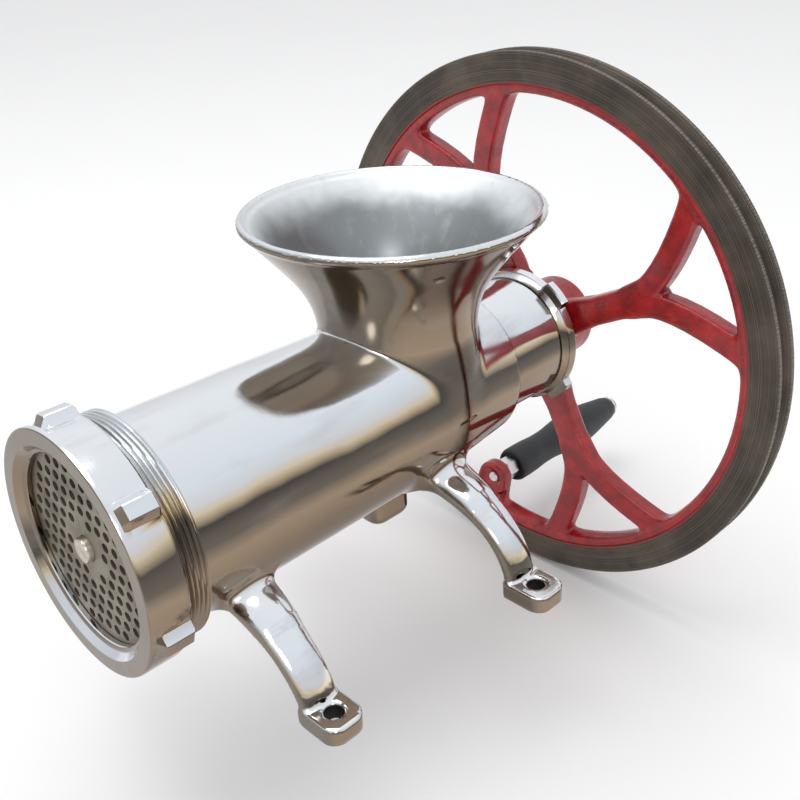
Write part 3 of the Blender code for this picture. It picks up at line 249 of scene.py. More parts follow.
def casting_field(points):
    """Distance to the casting's skin, negative in the metal."""
    x, y, z = points[:, 0], points[:, 1], points[:, 2] - AXIS
    radius = np.hypot(x, z)
    barrel = radius - np.interp(y, BARREL_PLACES, BARREL_RADII)
    shell = soft_overlap(barrel, y - BARREL_END, BARREL_EDGE)
    tube = np.maximum(radius - TUBE_R, y - TUBE_END)
    shell = soft_union(shell, tube, TUBE_FILLET)
    hopper = trumpet_field(x, y, z, OUTER_TRUMPET, 1)
    hopper = np.maximum(hopper, np.maximum(z - HOPPER_TOP, -z))
    lip = np.hypot(np.hypot(x, y - NECK_Y) - LIP_R, z - LIP_HEIGHT) - LIP_BEAD
    hopper = soft_union(hopper, lip, HOPPER_FILLET)
    shell = soft_union(shell, hopper, HOPPER_FILLET)
    shell = soft_union(shell, boss_field(x, y, z), BOSS_FILLET)
    for leg in LEGS:
        strap_and_pad = soft_union(leg_field(x, y, z, leg), pad_field(x, y, z, leg), PAD_FILLET)
        shell = soft_union(shell, strap_and_pad, leg["fillet"])
        shell = soft_cut(shell, foot_hole_field(x, y, z, leg), FOOT_HOLE_EDGE)
    dimple = np.linalg.norm(np.stack([x, y, z], 1) - DIMPLE_SPOT, axis=1) - DIMPLE_R
    shell = soft_cut(shell, dimple, DIMPLE_EDGE)
    funnel = np.maximum(trumpet_field(x, y, z, INNER_TRUMPET, 0), -z)
    shell = soft_cut(shell, funnel, FUNNEL_EDGE)
    room = radius - np.interp(y, ROOM_PLACES, ROOM_RADII)
    shell = soft_cut(shell, np.maximum(room, y - ROOM_PLACES[1]), ROOM_EDGE)
    shell = np.maximum(shell, SHAFT_BORE_R - radius)
    return np.maximum(shell, MOUTH_CUT - y)


def slope_of(field, points, step=0.00025):
    """The field's steepest direction at each point, from small steps to both sides."""
    columns = []
    for axis in range(3):
        shift = np.zeros(3)
        shift[axis] = step
        columns.append((field(points + shift) - field(points - shift)) / (2 * step))
    return np.stack(columns, 1)


def remeshed(source, voxel):
    """The same solid again in even small faces, as a new mesh."""
    thing = bpy.data.objects.new("blank", source)
    bpy.context.scene.collection.objects.link(thing)
    modifier = thing.modifiers.new("even", "REMESH")
    modifier.mode = "VOXEL"
    modifier.voxel_size = voxel
    graph = bpy.context.evaluated_depsgraph_get()
    even = bpy.data.meshes.new_from_object(thing.evaluated_get(graph))
    bpy.data.objects.remove(thing, do_unlink=True)
    return even


LEAST_SLOPE = 0.05
LEAST_LENGTH = 1e-9


def settled(name, source, field, voxel, rounds=5, reach=0.0016):
    """Even faces laid on a field's skin, with the field's own slopes as normals."""
    mesh = remeshed(source, voxel)
    points = np.empty(len(mesh.vertices) * 3)
    mesh.vertices.foreach_get("co", points)
    points = points.reshape(-1, 3)
    for _ in range(rounds):
        slope = slope_of(field, points)
        length = np.maximum((slope ** 2).sum(1), LEAST_SLOPE)
        step = field(points)[:, None] * slope / length[:, None]
        size = np.linalg.norm(step, axis=1)[:, None]
        points = points - step * np.minimum(1, reach / np.maximum(size, LEAST_LENGTH))
    mesh.vertices.foreach_set("co", points.ravel())
    slope = slope_of(field, points)
    slope /= np.maximum(np.linalg.norm(slope, axis=1), LEAST_LENGTH)[:, None]
    mesh.shade_smooth()
    mesh.update()
    mesh.normals_split_custom_set_from_vertices([tuple(row) for row in slope])
    mesh.name = name
    return mesh


def placed(name, mesh, finish, body, slot_name, *nodes):
    """A finished piece on its body, standing for the solids that it replaces."""
    thing = bpy.data.objects.new(name, mesh)
    bpy.context.scene.collection.objects.link(thing)
    mesh.materials.clear()
    mesh.materials.append(finish)
    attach(thing, body)
    if nodes:
        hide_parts(*nodes)
    return thing


SOLID_JOIN = 0.00001
SKIN_JOIN = 0.000005
SHARP_FROM = math.radians(28)


def frame_mesh(node):
    """A copy of a solid's mesh with its corners joined, in the part's own frame."""
    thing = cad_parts[node]
    shape = bmesh.new()
    shape.from_mesh(thing.data)
    shape.transform(thing.matrix_world)
    bmesh.ops.remove_doubles(shape, verts=shape.verts, dist=SOLID_JOIN)
    mesh = bpy.data.meshes.new(node + " copy")
    shape.to_mesh(mesh)
    shape.free()
    return mesh


def tidy(name, shape, sharp_from=SHARP_FROM):
    """A mesh from a shape, smooth but for its edges sharper than an angle."""
    bmesh.ops.remove_doubles(shape, verts=shape.verts, dist=SKIN_JOIN)
    bmesh.ops.recalc_face_normals(shape, faces=shape.faces)
    mesh = bpy.data.meshes.new(name)
    shape.to_mesh(mesh)
    shape.free()
    mesh.shade_smooth()
    mesh.set_sharp_from_angle(angle=sharp_from)
    return mesh


def flat_bar(shape, outline, front, back):
    """A straight bar of any outline added to a shape, along the auger's axis."""
    near = [shape.verts.new((x, front, z)) for x, z in outline]
    far = [shape.verts.new((x, back, z)) for x, z in outline]
    shape.faces.new(near)
    shape.faces.new(list(reversed(far)))
    for index in range(len(outline)):
        after = (index + 1) % len(outline)
        shape.faces.new((near[after], near[index], far[index], far[after]))


def carved(name, mesh, cutter):
    """The mesh with the cutter's form taken out of it."""
    blank = bpy.data.objects.new("blank", mesh)
    tool = bpy.data.objects.new("tool", cutter)
    for thing in (blank, tool):
        bpy.context.scene.collection.objects.link(thing)
    modifier = blank.modifiers.new("cut", "BOOLEAN")
    modifier.operation = "DIFFERENCE"
    modifier.solver = "EXACT"
    modifier.object = tool
    graph = bpy.context.evaluated_depsgraph_get()
    result = bpy.data.meshes.new_from_object(blank.evaluated_get(graph))
    for thing in (blank, tool):
        bpy.data.objects.remove(thing, do_unlink=True)
    result.name = name
    result.shade_smooth()
    result.set_sharp_from_angle(angle=SHARP_FROM)
    return result


def shifted(mesh, offset):
    mesh.transform(Matrix.Translation(offset))
    return mesh


class Signal:
    """A shader socket whose arithmetic adds Math nodes."""

    def __init__(self, finish, socket):
        self.finish = finish
        self.socket = socket

    def math(self, operation, *values):
        return self.finish.node("ShaderNodeMath", {"operation": operation},
                                dict(enumerate(values)))

    def __add__(self, other):
        return self.math("ADD", self, other)

    def __sub__(self, other):
        return self.math("SUBTRACT", self, other)

    def __rsub__(self, other):
        return self.math("SUBTRACT", other, self)

    def __mul__(self, other):
        return self.math("MULTIPLY", self, other)

    def __truediv__(self, other):
        return self.math("DIVIDE", self, other)

    def __pow__(self, other):
        return self.math("POWER", self, other)

    __radd__ = __add__
    __rmul__ = __mul__

    def within(self, low, high):
        """0 at low and 1 at high, smooth between them."""
        return self.finish.node("ShaderNodeMapRange", {"interpolation_type": "SMOOTHSTEP"},
                                {"Value": self, "From Min": low, "From Max": high})


class Finish:
    """A procedural material, put together from nodes."""

    def __init__(self, name):
        self.material = bpy.data.materials.new(name)
        self.material.use_nodes = True
        self.tree = self.material.node_tree
        self.shader = self.tree.nodes["Principled BSDF"]

    def feed(self, socket, value):
        if isinstance(value, Signal):
            self.tree.links.new(value.socket, socket)
        elif isinstance(value, tuple) and len(value) == 3 and socket.type == "RGBA":
            socket.default_value = (*value, 1)
        else:
            socket.default_value = value

    def node(self, kind, settings, sockets, output=0):
        node = self.tree.nodes.new(kind)
        for key, value in settings.items():
            if key == "stops":
                stops = node.color_ramp.elements
                while len(stops) < len(value):
                    stops.new(1.0)
                for stop, (place, colour) in zip(stops, value):
                    stop.position = place
                    stop.color = (*colour, 1)
            else:
                setattr(node, key, value)
        for key, value in sockets.items():
            self.feed(node.inputs[key], value)
        return Signal(self, node.outputs[output])

    def place(self):
        return self.node("ShaderNodeTexCoord", {}, {}, "Object")

    def part_of(self, vector, name):
        return self.node("ShaderNodeSeparateXYZ", {}, {"Vector": vector}, name)

    def stretched(self, vector, scale):
        return self.node("ShaderNodeVectorMath", {"operation": "MULTIPLY"},
                         {0: vector, 1: scale})

    def noise(self, vector, scale, detail=3.0, roughness=0.55):
        return self.node("ShaderNodeTexNoise", {},
                         {"Vector": vector, "Scale": scale, "Detail": detail,
                          "Roughness": roughness}, 0)

    def mix(self, share, first, second):
        """Colour between first and second."""
        node = self.tree.nodes.new("ShaderNodeMix")
        node.data_type = "RGBA"
        self.feed(node.inputs[0], share)
        self.feed(node.inputs[6], first)
        self.feed(node.inputs[7], second)
        return Signal(self, node.outputs[2])

    def bump(self, height, distance, strength=1.0, under=None):
        sockets = {"Height": height, "Distance": distance, "Strength": strength}
        if under is not None:
            sockets["Normal"] = under
        return self.node("ShaderNodeBump", {}, sockets)

    def paint(self, **sockets):
        for key, value in sockets.items():
            self.feed(self.shader.inputs[key.replace("_", " ")], value)
        return self.material


# Painted reflection: faces turned to the front are coloured dark gold-brown.
FRONT_REFLECTION_DARK = (0.11, 0.09, 0.07)
FRONT_REFLECTION_GOLD = (0.29, 0.25, 0.20)
SMEAR = (0.40, 0.36, 0.31)
# Painted light and shade inside the hopper: the satin grey is pale at the lip and dark deep down.
SATIN_IN_PAINTED_LIGHT = (0.88, 0.92, 0.94)
SATIN_IN_PAINTED_SHADE = (0.27, 0.29, 0.30)
SATIN_STREAK = (0.60, 0.62, 0.62)
# Painted shade: the foot holes are coloured near black.
HOLE_PAINTED_SHADE = (0.030, 0.026, 0.022)
# Painted reflection: the metal's colour is set by which way a face turns, blue-white upwards, a
# bright then a dark band near level, and brown below.
POLISH_REFLECTION_TONES = (
    (0.00, (0.10, 0.08, 0.06)), (0.28, (0.26, 0.19, 0.13)), (0.50, (0.31, 0.23, 0.16)),
    (0.57, (0.13, 0.11, 0.09)), (0.66, (0.09, 0.08, 0.07)), (0.69, (0.52, 0.42, 0.28)),
    (0.715, (0.78, 0.68, 0.50)), (0.745, (0.76, 0.77, 0.78)), (0.80, (0.76, 0.82, 0.88)),
    (1.00, (0.92, 0.95, 0.98)),
)


def polished(name, shade, waviness, bare_roughness, inside=None):
    """Hand-polished white metal: soft waves, fine scratches and warmer low sides, the colours
    being painted reflection: set by which way a face turns, pale on top, a bright band, dark brown
    low down, and dark gold on faces turned to the front.

    shade multiplies the colour, and inside tells where the polish is only satin, how deep the
    painted shade reaches down the hopper, and where the foot holes are painted dark as shade.
    """
    metal = Finish(name)
    place = metal.place()
    facing = metal.node("ShaderNodeTexCoord", {}, {}, "Normal")
    upward = metal.part_of(facing, "Z")
    forward = metal.part_of(facing, "Y")
    waves = metal.noise(place, scale=26.0, detail=2.0, roughness=0.45)
    smears = metal.noise(metal.stretched(place, (1.0, 0.25, 1.0)), scale=60.0, detail=4.0)
    scratches = metal.noise(metal.stretched(place, (1.0, 9.0, 1.0)), scale=420.0, detail=3.0)
    cloud = metal.noise(place, scale=9.0, detail=3.0)
    # Painted reflection: the colour follows how far the surface faces upwards.
    painted_reflection_share = (upward + (cloud - 0.5) * 0.30 + (waves - 0.5) * 0.07) * 0.5 + 0.5
    colour = metal.node("ShaderNodeValToRGB", {"stops": POLISH_REFLECTION_TONES}, {"Fac": painted_reflection_share})
    # Painted reflection: faces turned towards the front take a dark gold colour.
    front = (0 - forward).within(0.55, 0.95)
    colour = metal.mix(front, colour, metal.mix(cloud, FRONT_REFLECTION_DARK, FRONT_REFLECTION_GOLD))
    colour = metal.mix(smears.within(0.52, 0.75) * 0.22, colour, SMEAR)
    colour = metal.node("ShaderNodeVectorMath", {"operation": "MULTIPLY"},
                        {0: colour, 1: shade})
    rough = bare_roughness + smears.within(0.45, 0.8) * 0.08 + scratches * 0.03 + front * 0.14
    if inside:
        satin, low, painted_hole_shade = inside(metal, place, facing)
        drawn_down = metal.stretched(place, (1.0, 1.0, 0.08))
        streaks = metal.noise(drawn_down, scale=130.0, detail=4.0, roughness=0.6)
        # Painted light and shade: the satin inside is pale near the lip and darker deeper down.
        grey = metal.mix(low, SATIN_IN_PAINTED_LIGHT, SATIN_IN_PAINTED_SHADE)
        grey = metal.mix(streaks.within(0.5, 0.8) * 0.3, grey, SATIN_STREAK)
        colour = metal.mix(satin, colour, grey)
        # Painted shade: the foot holes are coloured near black.
        colour = metal.mix(painted_hole_shade, colour, HOLE_PAINTED_SHADE)
        rough = rough + satin * (0.24 + streaks * 0.08) + painted_hole_shade * 0.5
    height = metal.bump(waves, distance=0.0016, strength=waviness)
    height = metal.bump(scratches, distance=0.00004, strength=0.35, under=height)
    return metal.paint(Base_Color=colour, Metallic=1.0, Roughness=rough, Normal=height)


SATIN_FROM = 0.030
SATIN_FULL = 0.045
LIP_PAINTED_LIGHT_FROM = 0.092
LIP_PAINTED_LIGHT_FULL = 0.108
LIP_HAZE = 0.016
HOLE_BLUR = 0.0006
LEAST_SQUARE = 0.0001


def unpolished(metal, place, facing):
    """Where the hopper's inside lies, how deep in it for the painted shade that darkens it
    downwards, and where the foot holes are, painted near black as shade.
    """
    x_out = metal.part_of(place, "X")
    y_out = metal.part_of(place, "Y") - NECK_Y
    height = metal.part_of(place, "Z") - AXIS
    lean = metal.part_of(facing, "X") * x_out + metal.part_of(facing, "Y") * y_out
    inward = (0 - lean / (x_out * x_out + y_out * y_out + LEAST_SQUARE) ** 0.5).within(0.05, 0.30)
    satin = inward * height.within(SATIN_FROM, SATIN_FULL)
    hazy = metal.noise(place, scale=30.0, detail=3.0)
    side = metal.node("ShaderNodeMath", {"operation": "ABSOLUTE"}, {0: x_out})
    along = metal.part_of(place, "Y")
    painted_hole_shade = 0
    # Painted shade: a mask of the foot holes, which are coloured near black.
    for foot_x, foot_y in (FRONT_FOOT, REAR_FOOT):
        from_hole = ((side - foot_x) ** 2 + (along - foot_y) ** 2) ** 0.5
        painted_hole_shade = (1 - from_hole.within(FOOT_HOLE_R, FOOT_HOLE_R + HOLE_BLUR)) + painted_hole_shade
    # Painted light near the hopper's lip, giving way to painted shade lower down.
    light = (height + hazy * LIP_HAZE).within(LIP_PAINTED_LIGHT_FROM, LIP_PAINTED_LIGHT_FULL)
    return satin, 1 - light, painted_hole_shade


CASTING_VOXEL = 0.0016
MOUTH_BOX_HALF = 0.07
MOUTH_BOX_FRONT = -0.14

# The solid's threaded collar is cut off first, because it is a piece of its own below.
casting_metal = polished("polished_casting", shade=(1.0, 1.0, 1.0), waviness=0.30,
                         bare_roughness=0.06, inside=unpolished)
mouth_box = bmesh.new()
flat_bar(mouth_box, [(-MOUTH_BOX_HALF, -MOUTH_BOX_HALF), (MOUTH_BOX_HALF, -MOUTH_BOX_HALF),
                     (MOUTH_BOX_HALF, MOUTH_BOX_HALF), (-MOUTH_BOX_HALF, MOUTH_BOX_HALF)],
         MOUTH_BOX_FRONT, MOUTH_CUT)
behind_mouth = carved("behind mouth", frame_mesh("grinder_body"),
                      shifted(tidy("mouth box", mouth_box), (0, 0, AXIS)))
body_mesh = settled("main_casting", behind_mouth, casting_field, CASTING_VOXEL)
placed("main_casting", body_mesh, casting_metal, "body", "polished_casting", "grinder_body")


# Threaded mouth: the barrel's front collar, cut with a coarse thread that the ring
# nut draws up on. Four or five turns stay bare behind the ring, dull from handling.

MOUTH_FRONT = FACE_Y + 0.0085
MOUTH_BACK = FACE_Y + 0.0322
SEAT_R = 0.0495
PLATE_SEAT = FACE_Y + 0.0161
KNIFE_ROOM_R = 0.0467
KNIFE_ROOM_END = FACE_Y + 0.0275
AUGER_ROOM_R = 0.0442
THREAD_CREST_R = 0.0549
THREAD_DEPTH = 0.0011
THREAD_PITCH = 0.0023
THREAD_ROWS = 6
THREAD_EASE_ROWS = 3
THREAD_STEEPNESS = 1.25
THREAD_FLAT_SHARE = 0.12
THREAD_SHARP_FROM = math.radians(50)


def ring_skin(name, loops, sharp_from=SHARP_FROM):
    """A closed ring from loops of corners, each joined to the next and the last to the first."""
    shape = bmesh.new()
    rows = [[shape.verts.new(corner) for corner in loop] for loop in loops]
    for row, following in zip(rows, rows[1:] + rows[:1]):
        for index, corner in enumerate(row):
            after = (index + 1) % len(row)
            shape.faces.new((corner, row[after], following[after], following[index]))
    return tidy(name, shape, sharp_from)


def spun(outline, angle):
    """An outline of radius and distance points, turned to an angle about the axis."""
    return [(radius * math.cos(angle), along, radius * math.sin(angle))
            for radius, along in outline]


def revolved(name, outline, sides):
    """A closed ring from radius and distance points, about the auger's axis."""
    return ring_skin(name, [spun(outline, math.tau * index / sides) for index in range(sides)])


def threaded_ring(name, seat, front, back, sides=160):
    """A ring with a thread from front to back, and a stepped seat inside."""
    rows = int((back - front) / THREAD_PITCH * THREAD_ROWS)
    loops = []
    for index in range(sides):
        profile = list(seat)
        for row in range(rows + 1):
            along = front + (back - front) * row / rows
            wave = abs(2 * ((along / THREAD_PITCH + index / sides) % 1) - 1)
            ease = min(1, (row + 0.01) / THREAD_EASE_ROWS, (rows - row + 0.01) / THREAD_EASE_ROWS)
            cut = min(1, max(0, THREAD_STEEPNESS * (1 - wave) - THREAD_FLAT_SHARE)) * ease
            profile.append((THREAD_CREST_R - THREAD_DEPTH * cut, along))
        loops.append(spun(profile, math.tau * index / sides))
    return ring_skin(name, loops, THREAD_SHARP_FROM)


thread_metal = polished("threaded_mouth", shade=(0.95, 0.95, 0.95), waviness=0.10,
                        bare_roughness=0.30)
mouth_seat = [(AUGER_ROOM_R, MOUTH_BACK), (AUGER_ROOM_R, KNIFE_ROOM_END),
              (KNIFE_ROOM_R, KNIFE_ROOM_END), (KNIFE_ROOM_R, PLATE_SEAT),
              (SEAT_R, PLATE_SEAT), (SEAT_R, MOUTH_FRONT)]
mouth_mesh = threaded_ring("mouth_thread", mouth_seat, MOUTH_FRONT, MOUTH_BACK)
placed("mouth_thread", shifted(mouth_mesh, (0, 0, AXIS)), thread_metal, "body",
       "polished_casting")


# Hole plate: a ground steel disc drilled with about a hundred holes on a triangular
# grid, its face dull and warm from use. A pin in the barrel's mouth stops it turning.

PLATE_FRONT = FACE_Y + 0.0068
PLATE_BACK = FACE_Y + 0.0158
PLATE_R = 0.0492
PLATE_EDGE = 0.0004
EYE_R = 0.0063
HOLE_PITCH = 0.00756
HOLE_R = 0.0024
HOLE_ROWS = 8
HOLES_FROM = 0.0150
HOLES_TO = 0.0422
HOLE_TURN = math.radians(6.4)
PIN_NOTCH_R = 0.0028
DRILL_OVERRUN = 0.002
DRILL_SIDES = 18
NOTCH_SIDES = 16
EDGE_DARK_FROM = 0.040
EDGE_DARK_FULL = 0.047
PLATE_TONE = (0.26, 0.235, 0.18)
PLATE_STAIN = (0.16, 0.135, 0.105)
PLATE_EDGE_DARK = (0.14, 0.11, 0.08)


def ring_points(radius, count, centre=(0.0, 0.0)):
    return [(centre[0] + radius * math.cos(math.tau * index / count),
             centre[1] + radius * math.sin(math.tau * index / count))
            for index in range(count)]


def plate_holes():
    """Where the holes stand: a triangular grid, kept clear of the eye and the edge."""
    places = []
    for across in range(-HOLE_ROWS, HOLE_ROWS + 1):
        for up in range(-HOLE_ROWS, HOLE_ROWS + 1):
            x = HOLE_PITCH * (across + up / 2)
            z = HOLE_PITCH * up * math.sqrt(3) / 2
            if HOLES_FROM <= math.hypot(x, z) <= HOLES_TO:
                places.append((x * math.cos(HOLE_TURN) - z * math.sin(HOLE_TURN),
                               x * math.sin(HOLE_TURN) + z * math.cos(HOLE_TURN)))
    return places


plate_outline = [(EYE_R, PLATE_FRONT), (PLATE_R - PLATE_EDGE, PLATE_FRONT),
                 (PLATE_R, PLATE_FRONT + PLATE_EDGE), (PLATE_R, PLATE_BACK),
                 (EYE_R, PLATE_BACK)]
drills = bmesh.new()
for hole_place in plate_holes():
    flat_bar(drills, ring_points(HOLE_R, DRILL_SIDES, hole_place), PLATE_FRONT - DRILL_OVERRUN,
             PLATE_BACK + DRILL_OVERRUN)
flat_bar(drills, ring_points(PIN_NOTCH_R, NOTCH_SIDES, (0, -PLATE_R)),
         PLATE_FRONT - DRILL_OVERRUN, PLATE_BACK + DRILL_OVERRUN)
plate_mesh = carved("hole_plate", revolved("plate blank", plate_outline, sides=96),
                    tidy("drills", drills))

plate_steel = Finish("plate_steel")
place = plate_steel.place()
x_part = plate_steel.part_of(place, "X")
z_part = plate_steel.part_of(place, "Z") - AXIS
from_axis = (x_part * x_part + z_part * z_part) ** 0.5
stain = plate_steel.noise(place, scale=70.0, detail=5.0, roughness=0.6)
grind = plate_steel.noise(plate_steel.stretched(place, (1.0, 1.0, 14.0)), scale=300.0, detail=2.0)
colour = plate_steel.mix(stain.within(0.35, 0.7), PLATE_TONE, PLATE_STAIN)
# The plate is coloured darker towards its rim.
colour = plate_steel.mix(from_axis.within(EDGE_DARK_FROM, EDGE_DARK_FULL) * 0.6, colour,
                         PLATE_EDGE_DARK)
plate_steel.paint(
    Base_Color=colour, Metallic=0.85,
    Roughness=0.36 + stain * 0.20 + grind * 0.08,
    Normal=plate_steel.bump(grind + stain * 0.6, distance=0.00008, strength=0.6),
)
placed("hole_plate", shifted(plate_mesh, (0, 0, AXIS)), plate_steel.material, "body",
       "satin_steel", "hole_plate")


def machined(name, light, dark, roughness, scale=500.0):
    """Turned or ground steel with fine tool marks and a little grime."""
    steel = Finish(name)
    place = steel.place()
    marks = steel.noise(steel.stretched(place, (1.0, 6.0, 1.0)), scale=scale, detail=3.0)
    grime = steel.noise(place, scale=90.0, detail=5.0, roughness=0.6)
    colour = steel.mix(grime.within(0.40, 0.75), light, dark)
    return steel.paint(
        Base_Color=colour, Metallic=1.0, Roughness=roughness + grime * 0.15 + marks * 0.05,
        Normal=steel.bump(marks, distance=0.00006, strength=0.5),
    )


def finished(finish, *nodes):
    """Gives a material to solids that keep their own shape."""
    for node in nodes:
        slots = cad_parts[node].data.materials
        slots.clear()
        slots.append(finish)


dark_steel = machined("dark_steel", light=(0.33, 0.31, 0.29), dark=(0.17, 0.15, 0.13),
                      roughness=0.30)
finished(dark_steel, "plate_pin", "thrust_washer", "hub_key", "hub_set_screw")


# Stud, knife and auger: the tinned cast worm that feeds the meat, with the steel stud
# in its nose. The stud's square drives the four-bladed knife and its round tip stands
# through the plate.

STUD_TIP = FACE_Y + 0.0035
STUD_SQUARE = FACE_Y + 0.0158
STUD_END = FACE_Y + 0.0480
STUD_R = 0.0060
STUD_END_R = 0.0058
STUD_NOSE = ((0.0048, 0.0), (0.0056, 0.0004), (0.0060, 0.0012))
AXIS_GAP = 0.0002
TIN = (0.66, 0.65, 0.62)
WORN_TIN = (0.42, 0.39, 0.35)

stud_outline = [(AXIS_GAP, STUD_TIP)]
stud_outline += [(radius, STUD_TIP + along) for radius, along in STUD_NOSE]
stud_outline += [(STUD_R, STUD_SQUARE), (STUD_END_R, STUD_END), (AXIS_GAP, STUD_END)]
stud_steel = machined("stud_steel", light=(0.60, 0.55, 0.47), dark=(0.36, 0.31, 0.25),
                      roughness=0.20)
stud_mesh = revolved("auger_stud", stud_outline, sides=32)
placed("auger_stud", shifted(stud_mesh, (0, 0, AXIS)), stud_steel, "crank", "satin_steel",
       "auger_stud")
knife_steel = machined("knife_steel", light=(0.58, 0.56, 0.53), dark=(0.36, 0.33, 0.30),
                       roughness=0.25)
finished(knife_steel, "knife")

auger_metal = Finish("tinned_worm")
place = auger_metal.place()
cast = auger_metal.noise(place, scale=240.0, detail=5.0, roughness=0.6)
worn = auger_metal.noise(place, scale=35.0, detail=3.0)
auger_metal.paint(
    Base_Color=auger_metal.mix(worn.within(0.35, 0.7), TIN, WORN_TIN),
    Metallic=1.0, Roughness=0.24 + cast * 0.18,
    Normal=auger_metal.bump(cast, distance=0.0003, strength=0.5),
)
finished(auger_metal.material, "auger")


# Bearings: two bronze bushes and a lipped rubber seal pressed in the housing, closed in
# by a polished ring nut with four broad lugs for a hook spanner.

bronze = machined("bearing_bronze", light=(0.72, 0.50, 0.25), dark=(0.45, 0.30, 0.15),
                  roughness=0.26)
finished(bronze, "front_bushing", "rear_bushing")
rubber = Finish("seal_rubber")
grain = rubber.noise(rubber.place(), scale=600.0, detail=3.0)
rubber.paint(Base_Color=rubber.mix(grain, (0.02, 0.02, 0.02), (0.05, 0.05, 0.05)),
             Roughness=0.6 + grain * 0.2,
             Normal=rubber.bump(grain, distance=0.0001, strength=0.4))
finished(rubber.material, "shaft_seal")


LUG_SHARP_FROM = math.radians(26)
LUG_SOFT_SHARE = 0.12
LUG_SHOULDER_SHARE = 0.45


def lugged_ring(name, angles, lift_at, profile):
    """A ring whose outer points are lifted by an amount that depends on the angle.

    profile holds radius, distance and how much of the lift the point takes.
    """
    loops = [spun([(radius + lift_at(angle) * take, along) for radius, along, take in profile],
                  angle) for angle in angles]
    return ring_skin(name, loops, LUG_SHARP_FROM)


def lug_angles(plain, count, turn, half_foot, half_top):
    """Angles round a ring, close together at the flanks of each lug."""
    angles = []
    slope = half_foot - half_top
    near = [half_top * 0.5, half_top, half_top + slope * LUG_SOFT_SHARE,
            half_foot - slope * LUG_SOFT_SHARE, half_foot]
    gap = math.tau / count - 2 * half_foot
    for index in range(count):
        middle = turn + math.tau * index / count
        angles += [middle - value for value in reversed(near)] + [middle]
        angles += [middle + value for value in near]
        angles += [middle + half_foot + gap * step / plain for step in range(1, plain)]
    return angles


def lug_lift(height, count, turn, half_foot, half_top):
    """How far the ring stands out at an angle: a flat top with sloping flanks."""
    slope = half_foot - half_top
    soft = LUG_SOFT_SHARE
    shoulder = height * soft * LUG_SHOULDER_SHARE
    places = (0, half_top, half_top + slope * soft, half_foot - slope * soft, half_foot)
    lifts = (height, height, height - shoulder, shoulder, 0)

    def lift(angle):
        offset = (angle - turn) % (math.tau / count)
        offset = min(offset, math.tau / count - offset)
        return float(np.interp(offset, places, lifts))
    return lift


# A turned corner lists how far in from the outside, how far from the face, and how much
# of the lug's height the point takes.

NUT_FRONT = FACE_Y + 0.2928
NUT_BACK = FACE_Y + 0.3012
NUT_R = 0.0402
NUT_EYE_R = 0.0146
NUT_BORE_R = 0.0335
NUT_WALL = 0.0024
NUT_DISH_R = 0.0300
SKIRT_R = 0.0368
SKIRT_WALL = 0.0006
SKIRT = 0.0014
NUT_FRONT_CORNER = ((0.0005, 0.0014, 0.0), (0.0001, 0.0024, 0.85), (0.0, 0.0032, 1))
NUT_BACK_CORNER = ((0.0, 0.0008, 1), (0.0003, 0.0002, 0.95), (0.0008, 0.0, 0.85))
NUT_LUG_HEIGHT = 0.0042
NUT_LUGS = {"count": 4, "turn": math.radians(50), "half_foot": math.radians(12),
            "half_top": math.radians(9.5)}
nut_profile = [(NUT_BORE_R, NUT_FRONT, 0), (SKIRT_R, NUT_FRONT, 0),
               (SKIRT_R, NUT_FRONT - SKIRT, 0), (SKIRT_R + SKIRT_WALL, NUT_FRONT - SKIRT, 0)]
nut_profile += [(NUT_R - inwards, NUT_FRONT + along, take)
                for inwards, along, take in NUT_FRONT_CORNER]
nut_profile += [(NUT_R - inwards, NUT_BACK - along, take)
                for inwards, along, take in NUT_BACK_CORNER]
nut_profile += [(NUT_DISH_R, NUT_BACK, 0), (NUT_EYE_R, NUT_BACK, 0),
                (NUT_EYE_R, NUT_BACK - NUT_WALL, 0), (NUT_BORE_R, NUT_BACK - NUT_WALL, 0)]
end_nut_mesh = lugged_ring("end_nut", lug_angles(plain=16, **NUT_LUGS),
                           lug_lift(NUT_LUG_HEIGHT, **NUT_LUGS), nut_profile)
placed("end_nut", shifted(end_nut_mesh, (0, 0, AXIS)), casting_metal, "body",
       "polished_casting", "end_nut")


# Ring nut: cast with six wedge-shaped lugs, faced and polished. It screws over the mouth
# and its inner lip holds the plate against the knife.

RING_R = 0.0590
RING_FACE_R = 0.0503
RING_FACE_EDGE = 0.0004
RING_THREAD_R = 0.0553
RING_LIP_R = 0.0460
RING_LIP = 0.0065
RING_WIDTH = 0.0200
RING_FRONT_CORNER = ((0.0010, 0.0, 0), (0.0004, 0.0003, 0), (0.0, 0.0012, 0),
                     (0.0, 0.0022, 0.05), (0.0, 0.0046, 0.92), (0.0, 0.0056, 1))
RING_BACK_CORNER = ((0.0, 0.0024, 1), (0.0002, 0.0014, 0.75), (0.0006, 0.0006, 0.1),
                    (0.0012, 0.0, 0))
RING_LIP_TURN = ((0.0, 0.0020), (0.0003, 0.0025), (0.0020, 0.0031), (0.0024, 0.0035))
RING_LUG_HEIGHT = 0.0046
RING_LUGS = {"count": 6, "turn": math.radians(40), "half_foot": math.radians(6.2),
             "half_top": math.radians(2.9)}
ring_profile = [(RING_FACE_R, RING_FACE_EDGE, 0), (RING_FACE_R + RING_FACE_EDGE, 0.0, 0)]
ring_profile += [(RING_R - inwards, along, take) for inwards, along, take in RING_FRONT_CORNER]
ring_profile += [(RING_R - inwards, RING_WIDTH - along, take)
                 for inwards, along, take in RING_BACK_CORNER]
ring_profile += [(RING_THREAD_R, RING_WIDTH, 0), (RING_THREAD_R, RING_LIP, 0),
                 (RING_LIP_R, RING_LIP, 0)]
ring_profile += [(RING_LIP_R + outwards, RING_LIP - forward, 0)
                 for outwards, forward in RING_LIP_TURN]
